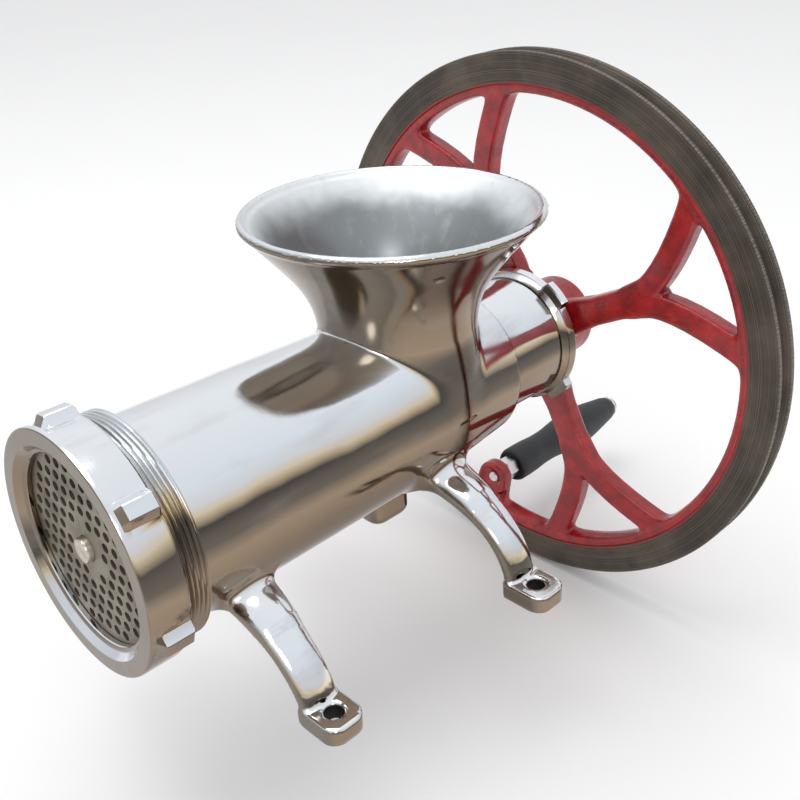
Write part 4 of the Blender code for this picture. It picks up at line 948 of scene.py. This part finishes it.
ring_mesh = lugged_ring("ring_nut", lug_angles(plain=14, **RING_LUGS),
                        lug_lift(RING_LUG_HEIGHT, **RING_LUGS), ring_profile)
ring_metal = polished("ring_metal", shade=(1.0, 1.0, 1.0), waviness=0.12, bare_roughness=0.08)
placed("ring_nut", shifted(ring_mesh, (0, FACE_Y, AXIS)), ring_metal, "ring",
       "polished_casting", "ring_nut")


# Flywheel casting: hub, four forked spokes, inner rim and the handle's ear, poured in
# iron and brushed with thick red enamel, which fills the corners and shows lumps.

HUB_FRONT = FACE_Y + 0.3022
HUB_BACK = HUB_FRONT + 0.0370
HUB_R = 0.0247
HUB_BORE_R = 0.0123
HUB_ROUNDING = 0.0030
RIM_FRONT = FACE_Y + 0.3043
RIM_BACK = RIM_FRONT + 0.0150
RIM_MIDDLE = (RIM_FRONT + RIM_BACK) / 2
BAND_INNER_R = 0.1412
BAND_OUTER_R = 0.1453
BAND_HALF = 0.0067
BAND_EDGE = 0.0010
BAND_SIDE_EDGE = 0.0020
BAND_CROWN = 0.0016
BAND_CROWN_HALF = 0.0068
RED_R = 0.1440
SPOKE_TURN = math.radians(26.5)
SPOKE_HALF = 0.0057
SPOKE_MIDDLE = RIM_FRONT + 0.0071
SPOKE_ROUNDING = 0.0026
TRUNK_START = (0.018, 0)
TRUNK_NECK = (0.052, 0)
TRUNK_END = (0.084, 0)
TRUNK_ROOT_HALF = 0.0125
TRUNK_NECK_HALF = 0.0082
TRUNK_END_HALF = 0.0083
FORK = ((0.080, 0.0015), (0.094, 0.0035), (0.110, 0.0125), (0.1375, 0.0440))
FORK_PIECES = 8
FORK_HALF = 0.0069
FORK_SWELL = 0.0002
FORK_FILLET = 0.0060
ROOT_R = 0.0235
ROOT_FILLET = 0.0140
RIM_ROOT_R = 0.1408
RIM_FILLET = 0.0070
WEB_FILLET = 0.0030
HUB_FILLET = 0.0060


def bar_field(a, b, start, end, start_half, end_half):
    """Distance in a plane to a straight bar that tapers from start to end."""
    run = (end[0] - start[0], end[1] - start[1])
    length = run[0] ** 2 + run[1] ** 2
    share = np.clip(((a - start[0]) * run[0] + (b - start[1]) * run[1]) / length, 0, 1)
    away = np.hypot(a - start[0] - run[0] * share, b - start[1] - run[1] * share)
    return away - (start_half + (end_half - start_half) * share)


def spoke_field(a, b):
    """One forked spoke in its plane: a runs outwards and b across."""
    b = np.abs(b)
    trunk = np.minimum(
        bar_field(a, b, TRUNK_START, TRUNK_NECK, TRUNK_ROOT_HALF, TRUNK_NECK_HALF),
        bar_field(a, b, TRUNK_NECK, TRUNK_END, TRUNK_NECK_HALF, TRUNK_END_HALF))
    curve = bezier(FORK, FORK_PIECES + 1)
    halves = [FORK_HALF + FORK_SWELL * step / FORK_PIECES for step in range(FORK_PIECES + 1)]
    branch = bar_field(a, b, curve[0], curve[1], halves[0], halves[1])
    for step in range(1, FORK_PIECES):
        branch = np.minimum(branch, bar_field(a, b, curve[step], curve[step + 1],
                                              halves[step], halves[step + 1]))
    return soft_union(trunk, branch, FORK_FILLET)


# The handle's ear grows inwards from the rim, and its front face is sunk.

EAR_TURN = math.radians(-104.4)
EAR_FROM_AXIS = 0.1231
HANDLE_X = EAR_FROM_AXIS * math.cos(EAR_TURN)
HANDLE_Z = EAR_FROM_AXIS * math.sin(EAR_TURN)
EAR_FRONT = RIM_FRONT + 0.0019
EAR_BACK = EAR_FRONT + 0.0096
EAR_MIDDLE = (EAR_FRONT + EAR_BACK) / 2
EAR_HALF = 0.0048
EAR_R = 0.0113
EAR_ROOT_R = 0.0135
EAR_FILLET = 0.0080
EAR_REACH = 0.0300
EAR_ROUNDING = 0.0024
EAR_JOIN = 0.0022
EYE_OF_EAR_R = 0.0041
HOLLOW_HALF = 0.0082
HOLLOW_ROOT_HALF = 0.0078
HOLLOW_END = 0.1390
HOLLOW_FROM = 0.1120
HOLLOW_TO_R = 0.1400
HOLLOW_DEPTH = 0.0034
HOLLOW_EDGE = 0.0016
EYE_EDGE = 0.0010


def outward_from_hub(x, z):
    """Distances along and across the line from the axis to the handle."""
    return (x * math.cos(EAR_TURN) + z * math.sin(EAR_TURN),
            -x * math.sin(EAR_TURN) + z * math.cos(EAR_TURN))


def ear_field(x, y, z, radius):
    """The lug inside the rim that carries the handle."""
    outward, across = outward_from_hub(x, z)
    lug = bar_field(outward, across, (EAR_FROM_AXIS, 0), (RED_R, 0), EAR_R, EAR_ROOT_R)
    lug = soft_union(lug, RIM_ROOT_R - radius, EAR_FILLET)
    lug = np.maximum(np.maximum(lug, radius - RED_R), np.abs(across) - EAR_REACH)
    lug = np.where(outward > 0, lug, FAR)
    return soft_overlap(lug, np.abs(y - EAR_MIDDLE) - EAR_HALF, EAR_ROUNDING)


def hollow_field(x, y, z, radius):
    """The sunk face of the ear, where the handle's bolt shows its end."""
    outward, across = outward_from_hub(x, z)
    hollow = bar_field(outward, across, (EAR_FROM_AXIS, 0), (HOLLOW_END, 0),
                       HOLLOW_HALF, HOLLOW_ROOT_HALF)
    hollow = np.maximum(np.maximum(hollow, HOLLOW_FROM - outward),
                        np.maximum(y - EAR_FRONT - HOLLOW_DEPTH, radius - HOLLOW_TO_R))
    return np.where(outward > 0, hollow, FAR)


def wheel_field(points):
    """Distance to the red casting's skin, negative in the iron."""
    x, y, z = points[:, 0], points[:, 1], points[:, 2] - AXIS
    radius = np.hypot(x, z)
    quarter = (np.arctan2(z, x) - SPOKE_TURN + math.pi / 4) % (math.pi / 2) - math.pi / 4
    web = spoke_field(radius * np.cos(quarter), radius * np.sin(quarter))
    from_middle = y - RIM_MIDDLE
    crown = BAND_CROWN * (1 - (from_middle / BAND_CROWN_HALF) ** 2)
    band = soft_overlap(BAND_INNER_R - np.maximum(crown, 0) - radius, radius - BAND_OUTER_R,
                        BAND_EDGE)
    band = soft_overlap(band, np.abs(from_middle) - BAND_HALF, BAND_SIDE_EDGE)
    plan = soft_union(web, radius - ROOT_R, ROOT_FILLET)
    plan = soft_union(plan, RIM_ROOT_R - radius, RIM_FILLET)
    plan = np.maximum(plan, radius - RED_R)
    spokes = soft_overlap(plan, np.abs(y - SPOKE_MIDDLE) - SPOKE_HALF, SPOKE_ROUNDING)
    wheel = soft_union(band, spokes, WEB_FILLET)
    hub = soft_overlap(radius - HUB_R, np.maximum(HUB_FRONT - y, y - HUB_BACK), HUB_ROUNDING)
    wheel = soft_union(wheel, hub, HUB_FILLET)
    wheel = soft_union(wheel, ear_field(x, y, z, radius), EAR_JOIN)
    wheel = soft_cut(wheel, hollow_field(x, y, z, radius), HOLLOW_EDGE)
    wheel = soft_cut(wheel, radius - HUB_BORE_R, EYE_EDGE)
    return soft_cut(wheel, np.hypot(x - HANDLE_X, z - HANDLE_Z) - EYE_OF_EAR_R, EYE_EDGE)


# Rough blanks stand close to the finished casting, within the reach of settled().

BLANK_PATH = ((0.0150, 0.0), (0.0520, 0.0), (0.0840, 0.0))
BLANK_FORK = FORK[:3] + ((0.1385, 0.0452),)
BLANK_HALF = 0.0074
BLANK_OVERLAP = 0.0040
BLANK_END_SHARE = 0.6
BLANK_GAP = 0.0008
BLANK_SHORTEST = 0.002
BLANK_FRONT = RIM_FRONT + 0.0014
BLANK_BACK = RIM_FRONT + 0.0128
BLANK_RIM_INNER_R = 0.1402
BLANK_RIM_OUTER_R = 0.1452
BLANK_EAR_R = 0.0114
BLANK_EAR_ROOT = ((0.1325, -0.0112), (0.1430, -0.0140), (0.1430, 0.0140), (0.1325, 0.0112))


def rough_spoke(turn, side):
    """Overlapping bars along one side of a forked spoke."""
    path = list(BLANK_PATH) + [tuple(spot) for spot in bezier(BLANK_FORK, 6)]
    bars = []
    for start, end in zip(path, path[1:]):
        run = Vector(end) - Vector(start)
        if run.length < BLANK_SHORTEST:
            continue
        flank = Vector((-run.y, run.x)).normalized() * BLANK_HALF
        reach = run.normalized() * BLANK_OVERLAP
        first, last = Vector(start) - reach, Vector(end) + reach * BLANK_END_SHARE
        corners = [first - flank, last - flank, last + flank, first + flank]
        bar = bmesh.new()
        flat_bar(bar, [(c.x * math.cos(turn) - side * c.y * math.sin(turn),
                        c.x * math.sin(turn) + side * c.y * math.cos(turn))
                       for c in corners], BLANK_FRONT, BLANK_BACK)
        bars.append(tidy("bar", bar))
    return bars


def rough_wheel():
    """Overlapping blanks for the wheel's pieces, joined when they are remeshed."""
    front, back = RIM_FRONT + BLANK_GAP, RIM_BACK - BLANK_GAP
    blanks = [
        revolved("rim", [(BLANK_RIM_INNER_R, front), (BLANK_RIM_OUTER_R, front),
                         (BLANK_RIM_OUTER_R, back), (BLANK_RIM_INNER_R, back)],
                 sides=160),
        revolved("hub", [(HUB_BORE_R, HUB_FRONT), (HUB_R, HUB_FRONT), (HUB_R, HUB_BACK),
                         (HUB_BORE_R, HUB_BACK)], sides=64),
    ]
    for index in range(4):
        for side in (1, -1):
            blanks += rough_spoke(SPOKE_TURN + math.pi / 2 * index, side)
    ear = revolved("ear", [(EYE_OF_EAR_R, EAR_FRONT), (BLANK_EAR_R, EAR_FRONT),
                           (BLANK_EAR_R, EAR_BACK), (EYE_OF_EAR_R, EAR_BACK)],
                   sides=40)
    blanks.append(shifted(ear, (HANDLE_X, 0, HANDLE_Z)))
    block = bmesh.new()
    flat_bar(block, [(a * math.cos(EAR_TURN) - b * math.sin(EAR_TURN),
                      a * math.sin(EAR_TURN) + b * math.cos(EAR_TURN))
                     for a, b in BLANK_EAR_ROOT], EAR_FRONT, EAR_BACK)
    blanks.append(tidy("block", block))
    whole = bmesh.new()
    for blank in blanks:
        whole.from_mesh(blank)
    mesh = bpy.data.meshes.new("rough wheel")
    whole.to_mesh(mesh)
    whole.free()
    return shifted(mesh, (0, 0, AXIS))


ENAMEL_DEEP = (0.24, 0.004, 0.006)
ENAMEL_RED = (0.42, 0.010, 0.012)
ENAMEL_DIRT = (0.07, 0.004, 0.004)
WHEEL_VOXEL = 0.0015

enamel = Finish("red_enamel")
place = enamel.place()
lumps = enamel.noise(place, scale=95.0, detail=4.0, roughness=0.6)
brushed = enamel.noise(enamel.stretched(place, (1.0, 1.0, 2.5)), scale=260.0, detail=3.0)
dirt = enamel.noise(place, scale=38.0, detail=5.0, roughness=0.65)
colour = enamel.mix(lumps.within(0.35, 0.7), ENAMEL_DEEP, ENAMEL_RED)
colour = enamel.mix(dirt.within(0.58, 0.76) * 0.6, colour, ENAMEL_DIRT)
enamel.paint(
    Base_Color=colour, Metallic=0.0, Roughness=0.24 + brushed * 0.22,
    Coat_Weight=0.35, Coat_Roughness=0.16,
    Normal=enamel.bump(brushed, distance=0.0003, strength=0.7,
                       under=enamel.bump(lumps, distance=0.0011, strength=0.8)),
)
wheel_mesh = settled("wheel_casting", rough_wheel(), wheel_field, WHEEL_VOXEL, rounds=7)
placed("wheel_casting", wheel_mesh, enamel.material, "crank", "red_paint", "flywheel")


# Wheel rim: the bare iron tyre of the flywheel, turned in a lathe, with a belt groove
# round it. The tool's rings show on its faces and it has gone brown with age.

RIM_R = 0.1626
RIM_INNER_R = 0.1448
RIM_EDGE = 0.0004
RIM_INNER_EDGE = 0.0003
GROOVE_R = 0.1540
GROOVE_HALF = 0.0051
GROOVE_FLOOR_HALF = 0.0022
GROOVE_CORNER = 0.0002
BRIGHT_FROM = RIM_R - 0.0011
BRIGHT_FULL = RIM_R - 0.0002
STRAY_RED_FULL = 0.1452
STRAY_RED_END = 0.1464
IRON_BROWN = (0.120, 0.098, 0.076)
IRON_DARK = (0.055, 0.046, 0.038)
TOOL_RING = (0.27, 0.24, 0.20)
BRIGHT_EDGE = (0.36, 0.33, 0.29)
STRAY_RED = (0.34, 0.02, 0.02)

rim_width = RIM_BACK - RIM_FRONT
rim_middle = rim_width / 2
front_half = [
    (RIM_INNER_R, RIM_INNER_EDGE), (RIM_INNER_R + RIM_INNER_EDGE, 0.0), (RIM_R - RIM_EDGE, 0.0),
    (RIM_R, RIM_EDGE), (RIM_R, rim_middle - GROOVE_HALF - RIM_EDGE),
    (RIM_R - RIM_EDGE, rim_middle - GROOVE_HALF),
    (GROOVE_R + GROOVE_CORNER, rim_middle - GROOVE_FLOOR_HALF - RIM_EDGE),
    (GROOVE_R, rim_middle - GROOVE_FLOOR_HALF),
]
rim_outline = front_half + [(radius, rim_width - along) for radius, along in reversed(front_half)]
rim_mesh = revolved("wheel_rim", rim_outline, sides=256)
iron = Finish("turned_iron")
place = iron.place()
x_part = iron.part_of(place, "X")
z_part = iron.part_of(place, "Z") - AXIS
from_axis = (x_part * x_part + z_part * z_part) ** 0.5
around = iron.node("ShaderNodeMath", {"operation": "ARCTAN2"}, {0: z_part, 1: x_part})
rings = iron.node("ShaderNodeTexNoise", {"noise_dimensions": "1D"},
                  {"W": from_axis * 2600.0, "Scale": 1.0, "Detail": 2.0}, 0)
along = iron.node("ShaderNodeTexNoise", {"noise_dimensions": "1D"},
                  {"W": around * 260.0, "Scale": 1.0, "Detail": 2.0}, 0)
patch = iron.noise(place, scale=26.0, detail=5.0, roughness=0.6)
speck = iron.noise(place, scale=330.0, detail=4.0, roughness=0.6)
edge = from_axis.within(BRIGHT_FROM, BRIGHT_FULL)
colour = iron.mix(patch.within(0.35, 0.68), IRON_BROWN, IRON_DARK)
colour = iron.mix(rings.within(0.45, 0.8) * 0.55, colour, TOOL_RING)
colour = iron.mix(edge * along.within(0.4, 0.7) * 0.7, colour, BRIGHT_EDGE)
beside_paint = 1 - from_axis.within(STRAY_RED_FULL, STRAY_RED_END)
brushed_red = beside_paint * (patch + speck * 0.6).within(0.62, 0.90)
colour = iron.mix(brushed_red, colour, STRAY_RED)
iron.paint(
    Base_Color=colour, Metallic=0.75 - brushed_red * 0.7,
    Roughness=0.40 + speck * 0.18,
    Normal=iron.bump(rings + along * edge, distance=0.00025, strength=0.8,
                     under=iron.bump(speck, distance=0.0002, strength=0.4)),
)
placed("wheel_rim", shifted(rim_mesh, (0, RIM_FRONT, AXIS)), iron.material, "crank",
       "red_paint")


# Hub fixings: a washer and a hexagon bolt in the shaft's end hold the wheel on. Its key
# and set screw keep the solids' shapes and have the dark steel above.

HUB_WASHER = HUB_BACK + 0.0003
HUB_WASHER_WIDTH = 0.0030
HEAD_FRONT = HUB_WASHER + HUB_WASHER_WIDTH + 0.0003
HEAD_BACK = HEAD_FRONT + 0.0064
HEXAGON_SIDES = 48
TURNED_SHARE = 2.2


def washer(name, bore, radius, front, width, edge, sides):
    """A flat washer whose outer corners are broken."""
    back = front + width
    outline = [(bore, front), (radius - edge, front), (radius, front + edge),
               (radius, back - edge), (radius - edge, back), (bore, back)]
    return revolved(name, outline, sides)


zinc = machined("zinc_plate", light=(0.80, 0.81, 0.80), dark=(0.60, 0.59, 0.55),
                roughness=0.18, scale=300.0)
hub_washer = washer("hub_washer", bore=0.0053, radius=0.0180, front=HUB_WASHER,
                    width=HUB_WASHER_WIDTH, edge=0.0004, sides=64)
placed("hub_washer", shifted(hub_washer, (0, 0, AXIS)), zinc, "crank", "dark_steel",
       "hub_washer")


def hexagon_bar(name, flats, front, back, hole, crown=0.0008):
    """A hexagon nut or bolt head with turned corners and a bore of any size."""
    corner = flats / math.sqrt(3)
    turned = corner - crown * TURNED_SHARE
    rows = ((front, turned), (front + crown, corner), (back - crown, corner), (back, turned))
    loops = []
    for index in range(HEXAGON_SIDES):
        angle = math.tau * index / HEXAGON_SIDES
        flat = flats / 2 / math.cos(angle % (math.pi / 3) - math.pi / 6)
        outline = [(min(flat, limit), along) for along, limit in rows]
        loops.append(spun(outline + [(hole, back), (hole, front)], angle))
    return ring_skin(name, loops, math.radians(24))


head_mesh = hexagon_bar("hub_bolt", flats=0.0170, front=HEAD_FRONT, back=HEAD_BACK,
                        hole=AXIS_GAP)
placed("hub_bolt", shifted(head_mesh, (0, 0, AXIS)), zinc, "crank", "dark_steel", "hub_bolt")


# Handle: a long zinc-plated bolt through the ear, drawn up by a washer and a hexagon nut,
# carries a moulded grip that turns freely and is kept on by a washer and the bolt's head.

CLEARANCE = 0.0003
WASHER_WIDTH = 0.0016
GRIP_LENGTH = 0.1120
HANDLE_BASE = EAR_BACK + CLEARANCE
NUT_START = HANDLE_BASE + WASHER_WIDTH + CLEARANCE
NUT_WIDTH = 0.0098
GRIP_START = NUT_START + NUT_WIDTH + CLEARANCE
GRIP_END = GRIP_START + GRIP_LENGTH
BOLT_R = 0.0038
BOLT_SHANK_R = 0.0035
BOLT_HEAD_R = 0.0056
BOLT_TIP = EAR_FRONT + HOLLOW_DEPTH - 0.0016
BOLT_HEAD = GRIP_END + 0.0022
BOLT_END = GRIP_END + 0.0064
BOLT_TIP_CORNER = ((0.0008, 0.0), (0.0002, 0.0005), (0.0, 0.0010))
BOLT_HEAD_CORNER = ((0.0003, 0.0), (0.0, 0.0004))
BOLT_END_CORNER = ((0.0, 0.0012), (0.0005, 0.0003), (0.0020, 0.0))
HANDLE_PLACE = (HANDLE_X, 0, AXIS + HANDLE_Z)


def on_handle(mesh):
    """A mesh made about the auger's axis, moved to the handle's own axis."""
    return shifted(mesh, HANDLE_PLACE)


spindle_outline = [(AXIS_GAP, BOLT_TIP)]
spindle_outline += [(BOLT_R - inwards, BOLT_TIP + along) for inwards, along in BOLT_TIP_CORNER]
spindle_outline += [(BOLT_R, GRIP_START - CLEARANCE), (BOLT_SHANK_R, GRIP_START),
                    (BOLT_SHANK_R, BOLT_HEAD)]
spindle_outline += [(BOLT_HEAD_R - inwards, BOLT_HEAD + along)
                    for inwards, along in BOLT_HEAD_CORNER]
spindle_outline += [(BOLT_HEAD_R - inwards, BOLT_END - along)
                    for inwards, along in BOLT_END_CORNER]
spindle_outline += [(AXIS_GAP, BOLT_END)]
zinc_pieces = {
    "handle_spindle": revolved("bolt", spindle_outline, sides=40),
    "handle_washer": washer("washer", bore=EYE_OF_EAR_R, radius=0.0080, front=HANDLE_BASE,
                            width=WASHER_WIDTH, edge=0.0003, sides=48),
    "handle_nut": hexagon_bar("nut", flats=0.0136, front=NUT_START,
                              back=NUT_START + NUT_WIDTH, hole=EYE_OF_EAR_R),
    "handle_end_washer": washer("end washer", bore=BOLT_R, radius=0.0078,
                                front=GRIP_END + CLEARANCE, width=WASHER_WIDTH, edge=0.0003,
                                sides=40),
}
for name, piece in zinc_pieces.items():
    placed(name, on_handle(piece), zinc, "crank", "zinc_plate", name)


GRIP_SHARES = (0.020, 0.060, 0.150, 0.250, 0.350, 0.480, 0.590, 0.690, 0.790, 0.890, 0.965)
GRIP_RADII = (0.0118, 0.0119, 0.0117, 0.0108, 0.0109, 0.0125, 0.0137, 0.0135, 0.0121, 0.0103,
              0.0090)
GRIP_NOSE = ((0.0090, 0.0012), (0.0093, 0.0001), (0.0103, 0.0), (0.0112, 0.0006))
GRIP_TAIL = ((0.0083, 0.0020), (0.0077, 0.0004), (0.0072, 0.0))
GRIP_DISH = 0.0012
GRIP_BORE_R = 0.0038
GRIP_BLACK = (0.014, 0.016, 0.019)
GRIP_DUST = (0.040, 0.044, 0.048)


def smooth_outline(points, count):
    """A smooth line through radius and distance points."""
    points = np.array(points)
    spots = np.linspace(points[0, 1], points[-1, 1], count)
    radii = np.interp(spots, points[:, 1], points[:, 0])
    for _ in range(3):
        radii[1:-1] = (radii[:-2] + 2 * radii[1:-1] + radii[2:]) / 4
    return list(zip(radii, spots))


body_line = smooth_outline([(radius, GRIP_START + GRIP_LENGTH * share)
                            for radius, share in zip(GRIP_RADII, GRIP_SHARES)], 60)
grip_outline = [(GRIP_BORE_R, GRIP_START + GRIP_DISH)]
grip_outline += [(radius, GRIP_START + along) for radius, along in GRIP_NOSE]
grip_outline += body_line
grip_outline += [(radius, GRIP_END - along) for radius, along in GRIP_TAIL]
grip_outline += [(GRIP_BORE_R, GRIP_END)]
moulded = Finish("moulded_grip")
place = moulded.place()
pebble = moulded.noise(place, scale=700.0, detail=3.0, roughness=0.5)
dust = moulded.noise(place, scale=60.0, detail=5.0, roughness=0.65)
moulded.paint(
    Base_Color=moulded.mix(dust.within(0.45, 0.8), GRIP_BLACK, GRIP_DUST),
    Roughness=0.42 + dust * 0.20,
    Normal=moulded.bump(pebble, distance=0.0001, strength=0.35),
)
placed("handle_grip", on_handle(revolved("handle_grip", grip_outline, sides=56)), moulded.material,
       "grip", "grip_plastic", "handle_grip")


# Studio: a pale sheet under everything, a bright sky that is a little greyer towards
# the horizon, and two broad soft lamps.

FLOOR_BELOW_FEET = 0.0830
FLOOR_R = 9.0
SKY_SHADES = (
    (0.0, (0.86, 0.86, 0.86)), (0.50, (0.86, 0.86, 0.86)), (0.56, (0.87, 0.87, 0.87)),
    (0.64, (0.91, 0.91, 0.92)), (0.80, (1.00, 1.01, 1.03)), (1.0, (1.0, 1.0, 1.0)),
)
SKY_STRENGTH = 0.85

sheet = bmesh.new()
bmesh.ops.create_circle(sheet, cap_ends=True, segments=64, radius=FLOOR_R)
bmesh.ops.translate(sheet, verts=sheet.verts, vec=(0, 0, -FLOOR_BELOW_FEET))
floor = bpy.data.objects.new("floor", tidy("floor", sheet))
bpy.context.scene.collection.objects.link(floor)
paper = Finish("paper")
fibre = paper.noise(paper.place(), scale=3.0, detail=2.0)
paper.paint(Base_Color=paper.mix(fibre, (0.93, 0.93, 0.93), (0.95, 0.95, 0.95)),
            Roughness=0.9, Specular_IOR_Level=0.1)
floor.data.materials.append(paper.material)

world = bpy.data.worlds.new("studio")
bpy.context.scene.world = world
world.use_nodes = True
sky = world.node_tree
sky_place = sky.nodes.new("ShaderNodeTexCoord")
split = sky.nodes.new("ShaderNodeSeparateXYZ")
ramp = sky.nodes.new("ShaderNodeValToRGB")
stops = ramp.color_ramp.elements
while len(stops) < len(SKY_SHADES):
    stops.new(1.0)
for stop, (share, shade) in zip(stops, SKY_SHADES):
    stop.position = share
    stop.color = (*shade, 1)
lift = sky.nodes.new("ShaderNodeMapRange")
lift.inputs["From Min"].default_value = -1.0
lift.inputs["From Max"].default_value = 1.0
sky.links.new(sky_place.outputs["Generated"], split.inputs[0])
sky.links.new(split.outputs["Z"], lift.inputs["Value"])
sky.links.new(lift.outputs[0], ramp.inputs[0])
sky.links.new(ramp.outputs[0], sky.nodes["Background"].inputs["Color"])
sky.nodes["Background"].inputs["Strength"].default_value = SKY_STRENGTH


def soft_lamp(name, place, target, width, power):
    light = bpy.data.lights.new(name, "AREA")
    light.shape = "DISK"
    light.size = width
    light.energy = power
    lamp = bpy.data.objects.new(name, light)
    lamp.location = place
    lamp.rotation_euler = (Vector(target) - Vector(place)).to_track_quat("-Z", "Y").to_euler()
    bpy.context.scene.collection.objects.link(lamp)


soft_lamp("overhead", place=(-0.3, -0.2, 2.2), target=(0, 0.05, 0.08), width=1.6, power=16.0)
soft_lamp("side", place=(1.8, -1.4, 1.5), target=(0, 0.05, 0.05), width=0.9, power=8.0)

AZIMUTH = math.radians(46.76)
ELEVATION = math.radians(27.62)
ROLL = math.radians(-3.15)
CAMERA_PLACE = (0.3599, -0.2672, 0.3362)
FOCAL_PIXELS = 1022.6
PICTURE_PIXELS = 800
SENSOR = 36.0

back = Vector((math.sin(AZIMUTH) * math.cos(ELEVATION),
               -math.cos(AZIMUTH) * math.cos(ELEVATION), math.sin(ELEVATION)))
right = Vector((math.cos(AZIMUTH), math.sin(AZIMUTH), 0))
above = back.cross(right)
level = math.cos(ROLL) * right + math.sin(ROLL) * above
plumb = math.cos(ROLL) * above - math.sin(ROLL) * right
lens = bpy.data.cameras.new("camera")
lens.sensor_width = SENSOR
lens.lens = FOCAL_PIXELS / PICTURE_PIXELS * SENSOR
lens.clip_start = 0.01
camera = bpy.data.objects.new("camera", lens)
facing = Matrix((level, plumb, back)).transposed().to_4x4()
camera.matrix_world = Matrix.Translation(CAMERA_PLACE) @ facing
bpy.context.scene.collection.objects.link(camera)
bpy.context.scene.camera = camera
bpy.context.scene.view_settings.view_transform = "Standard"
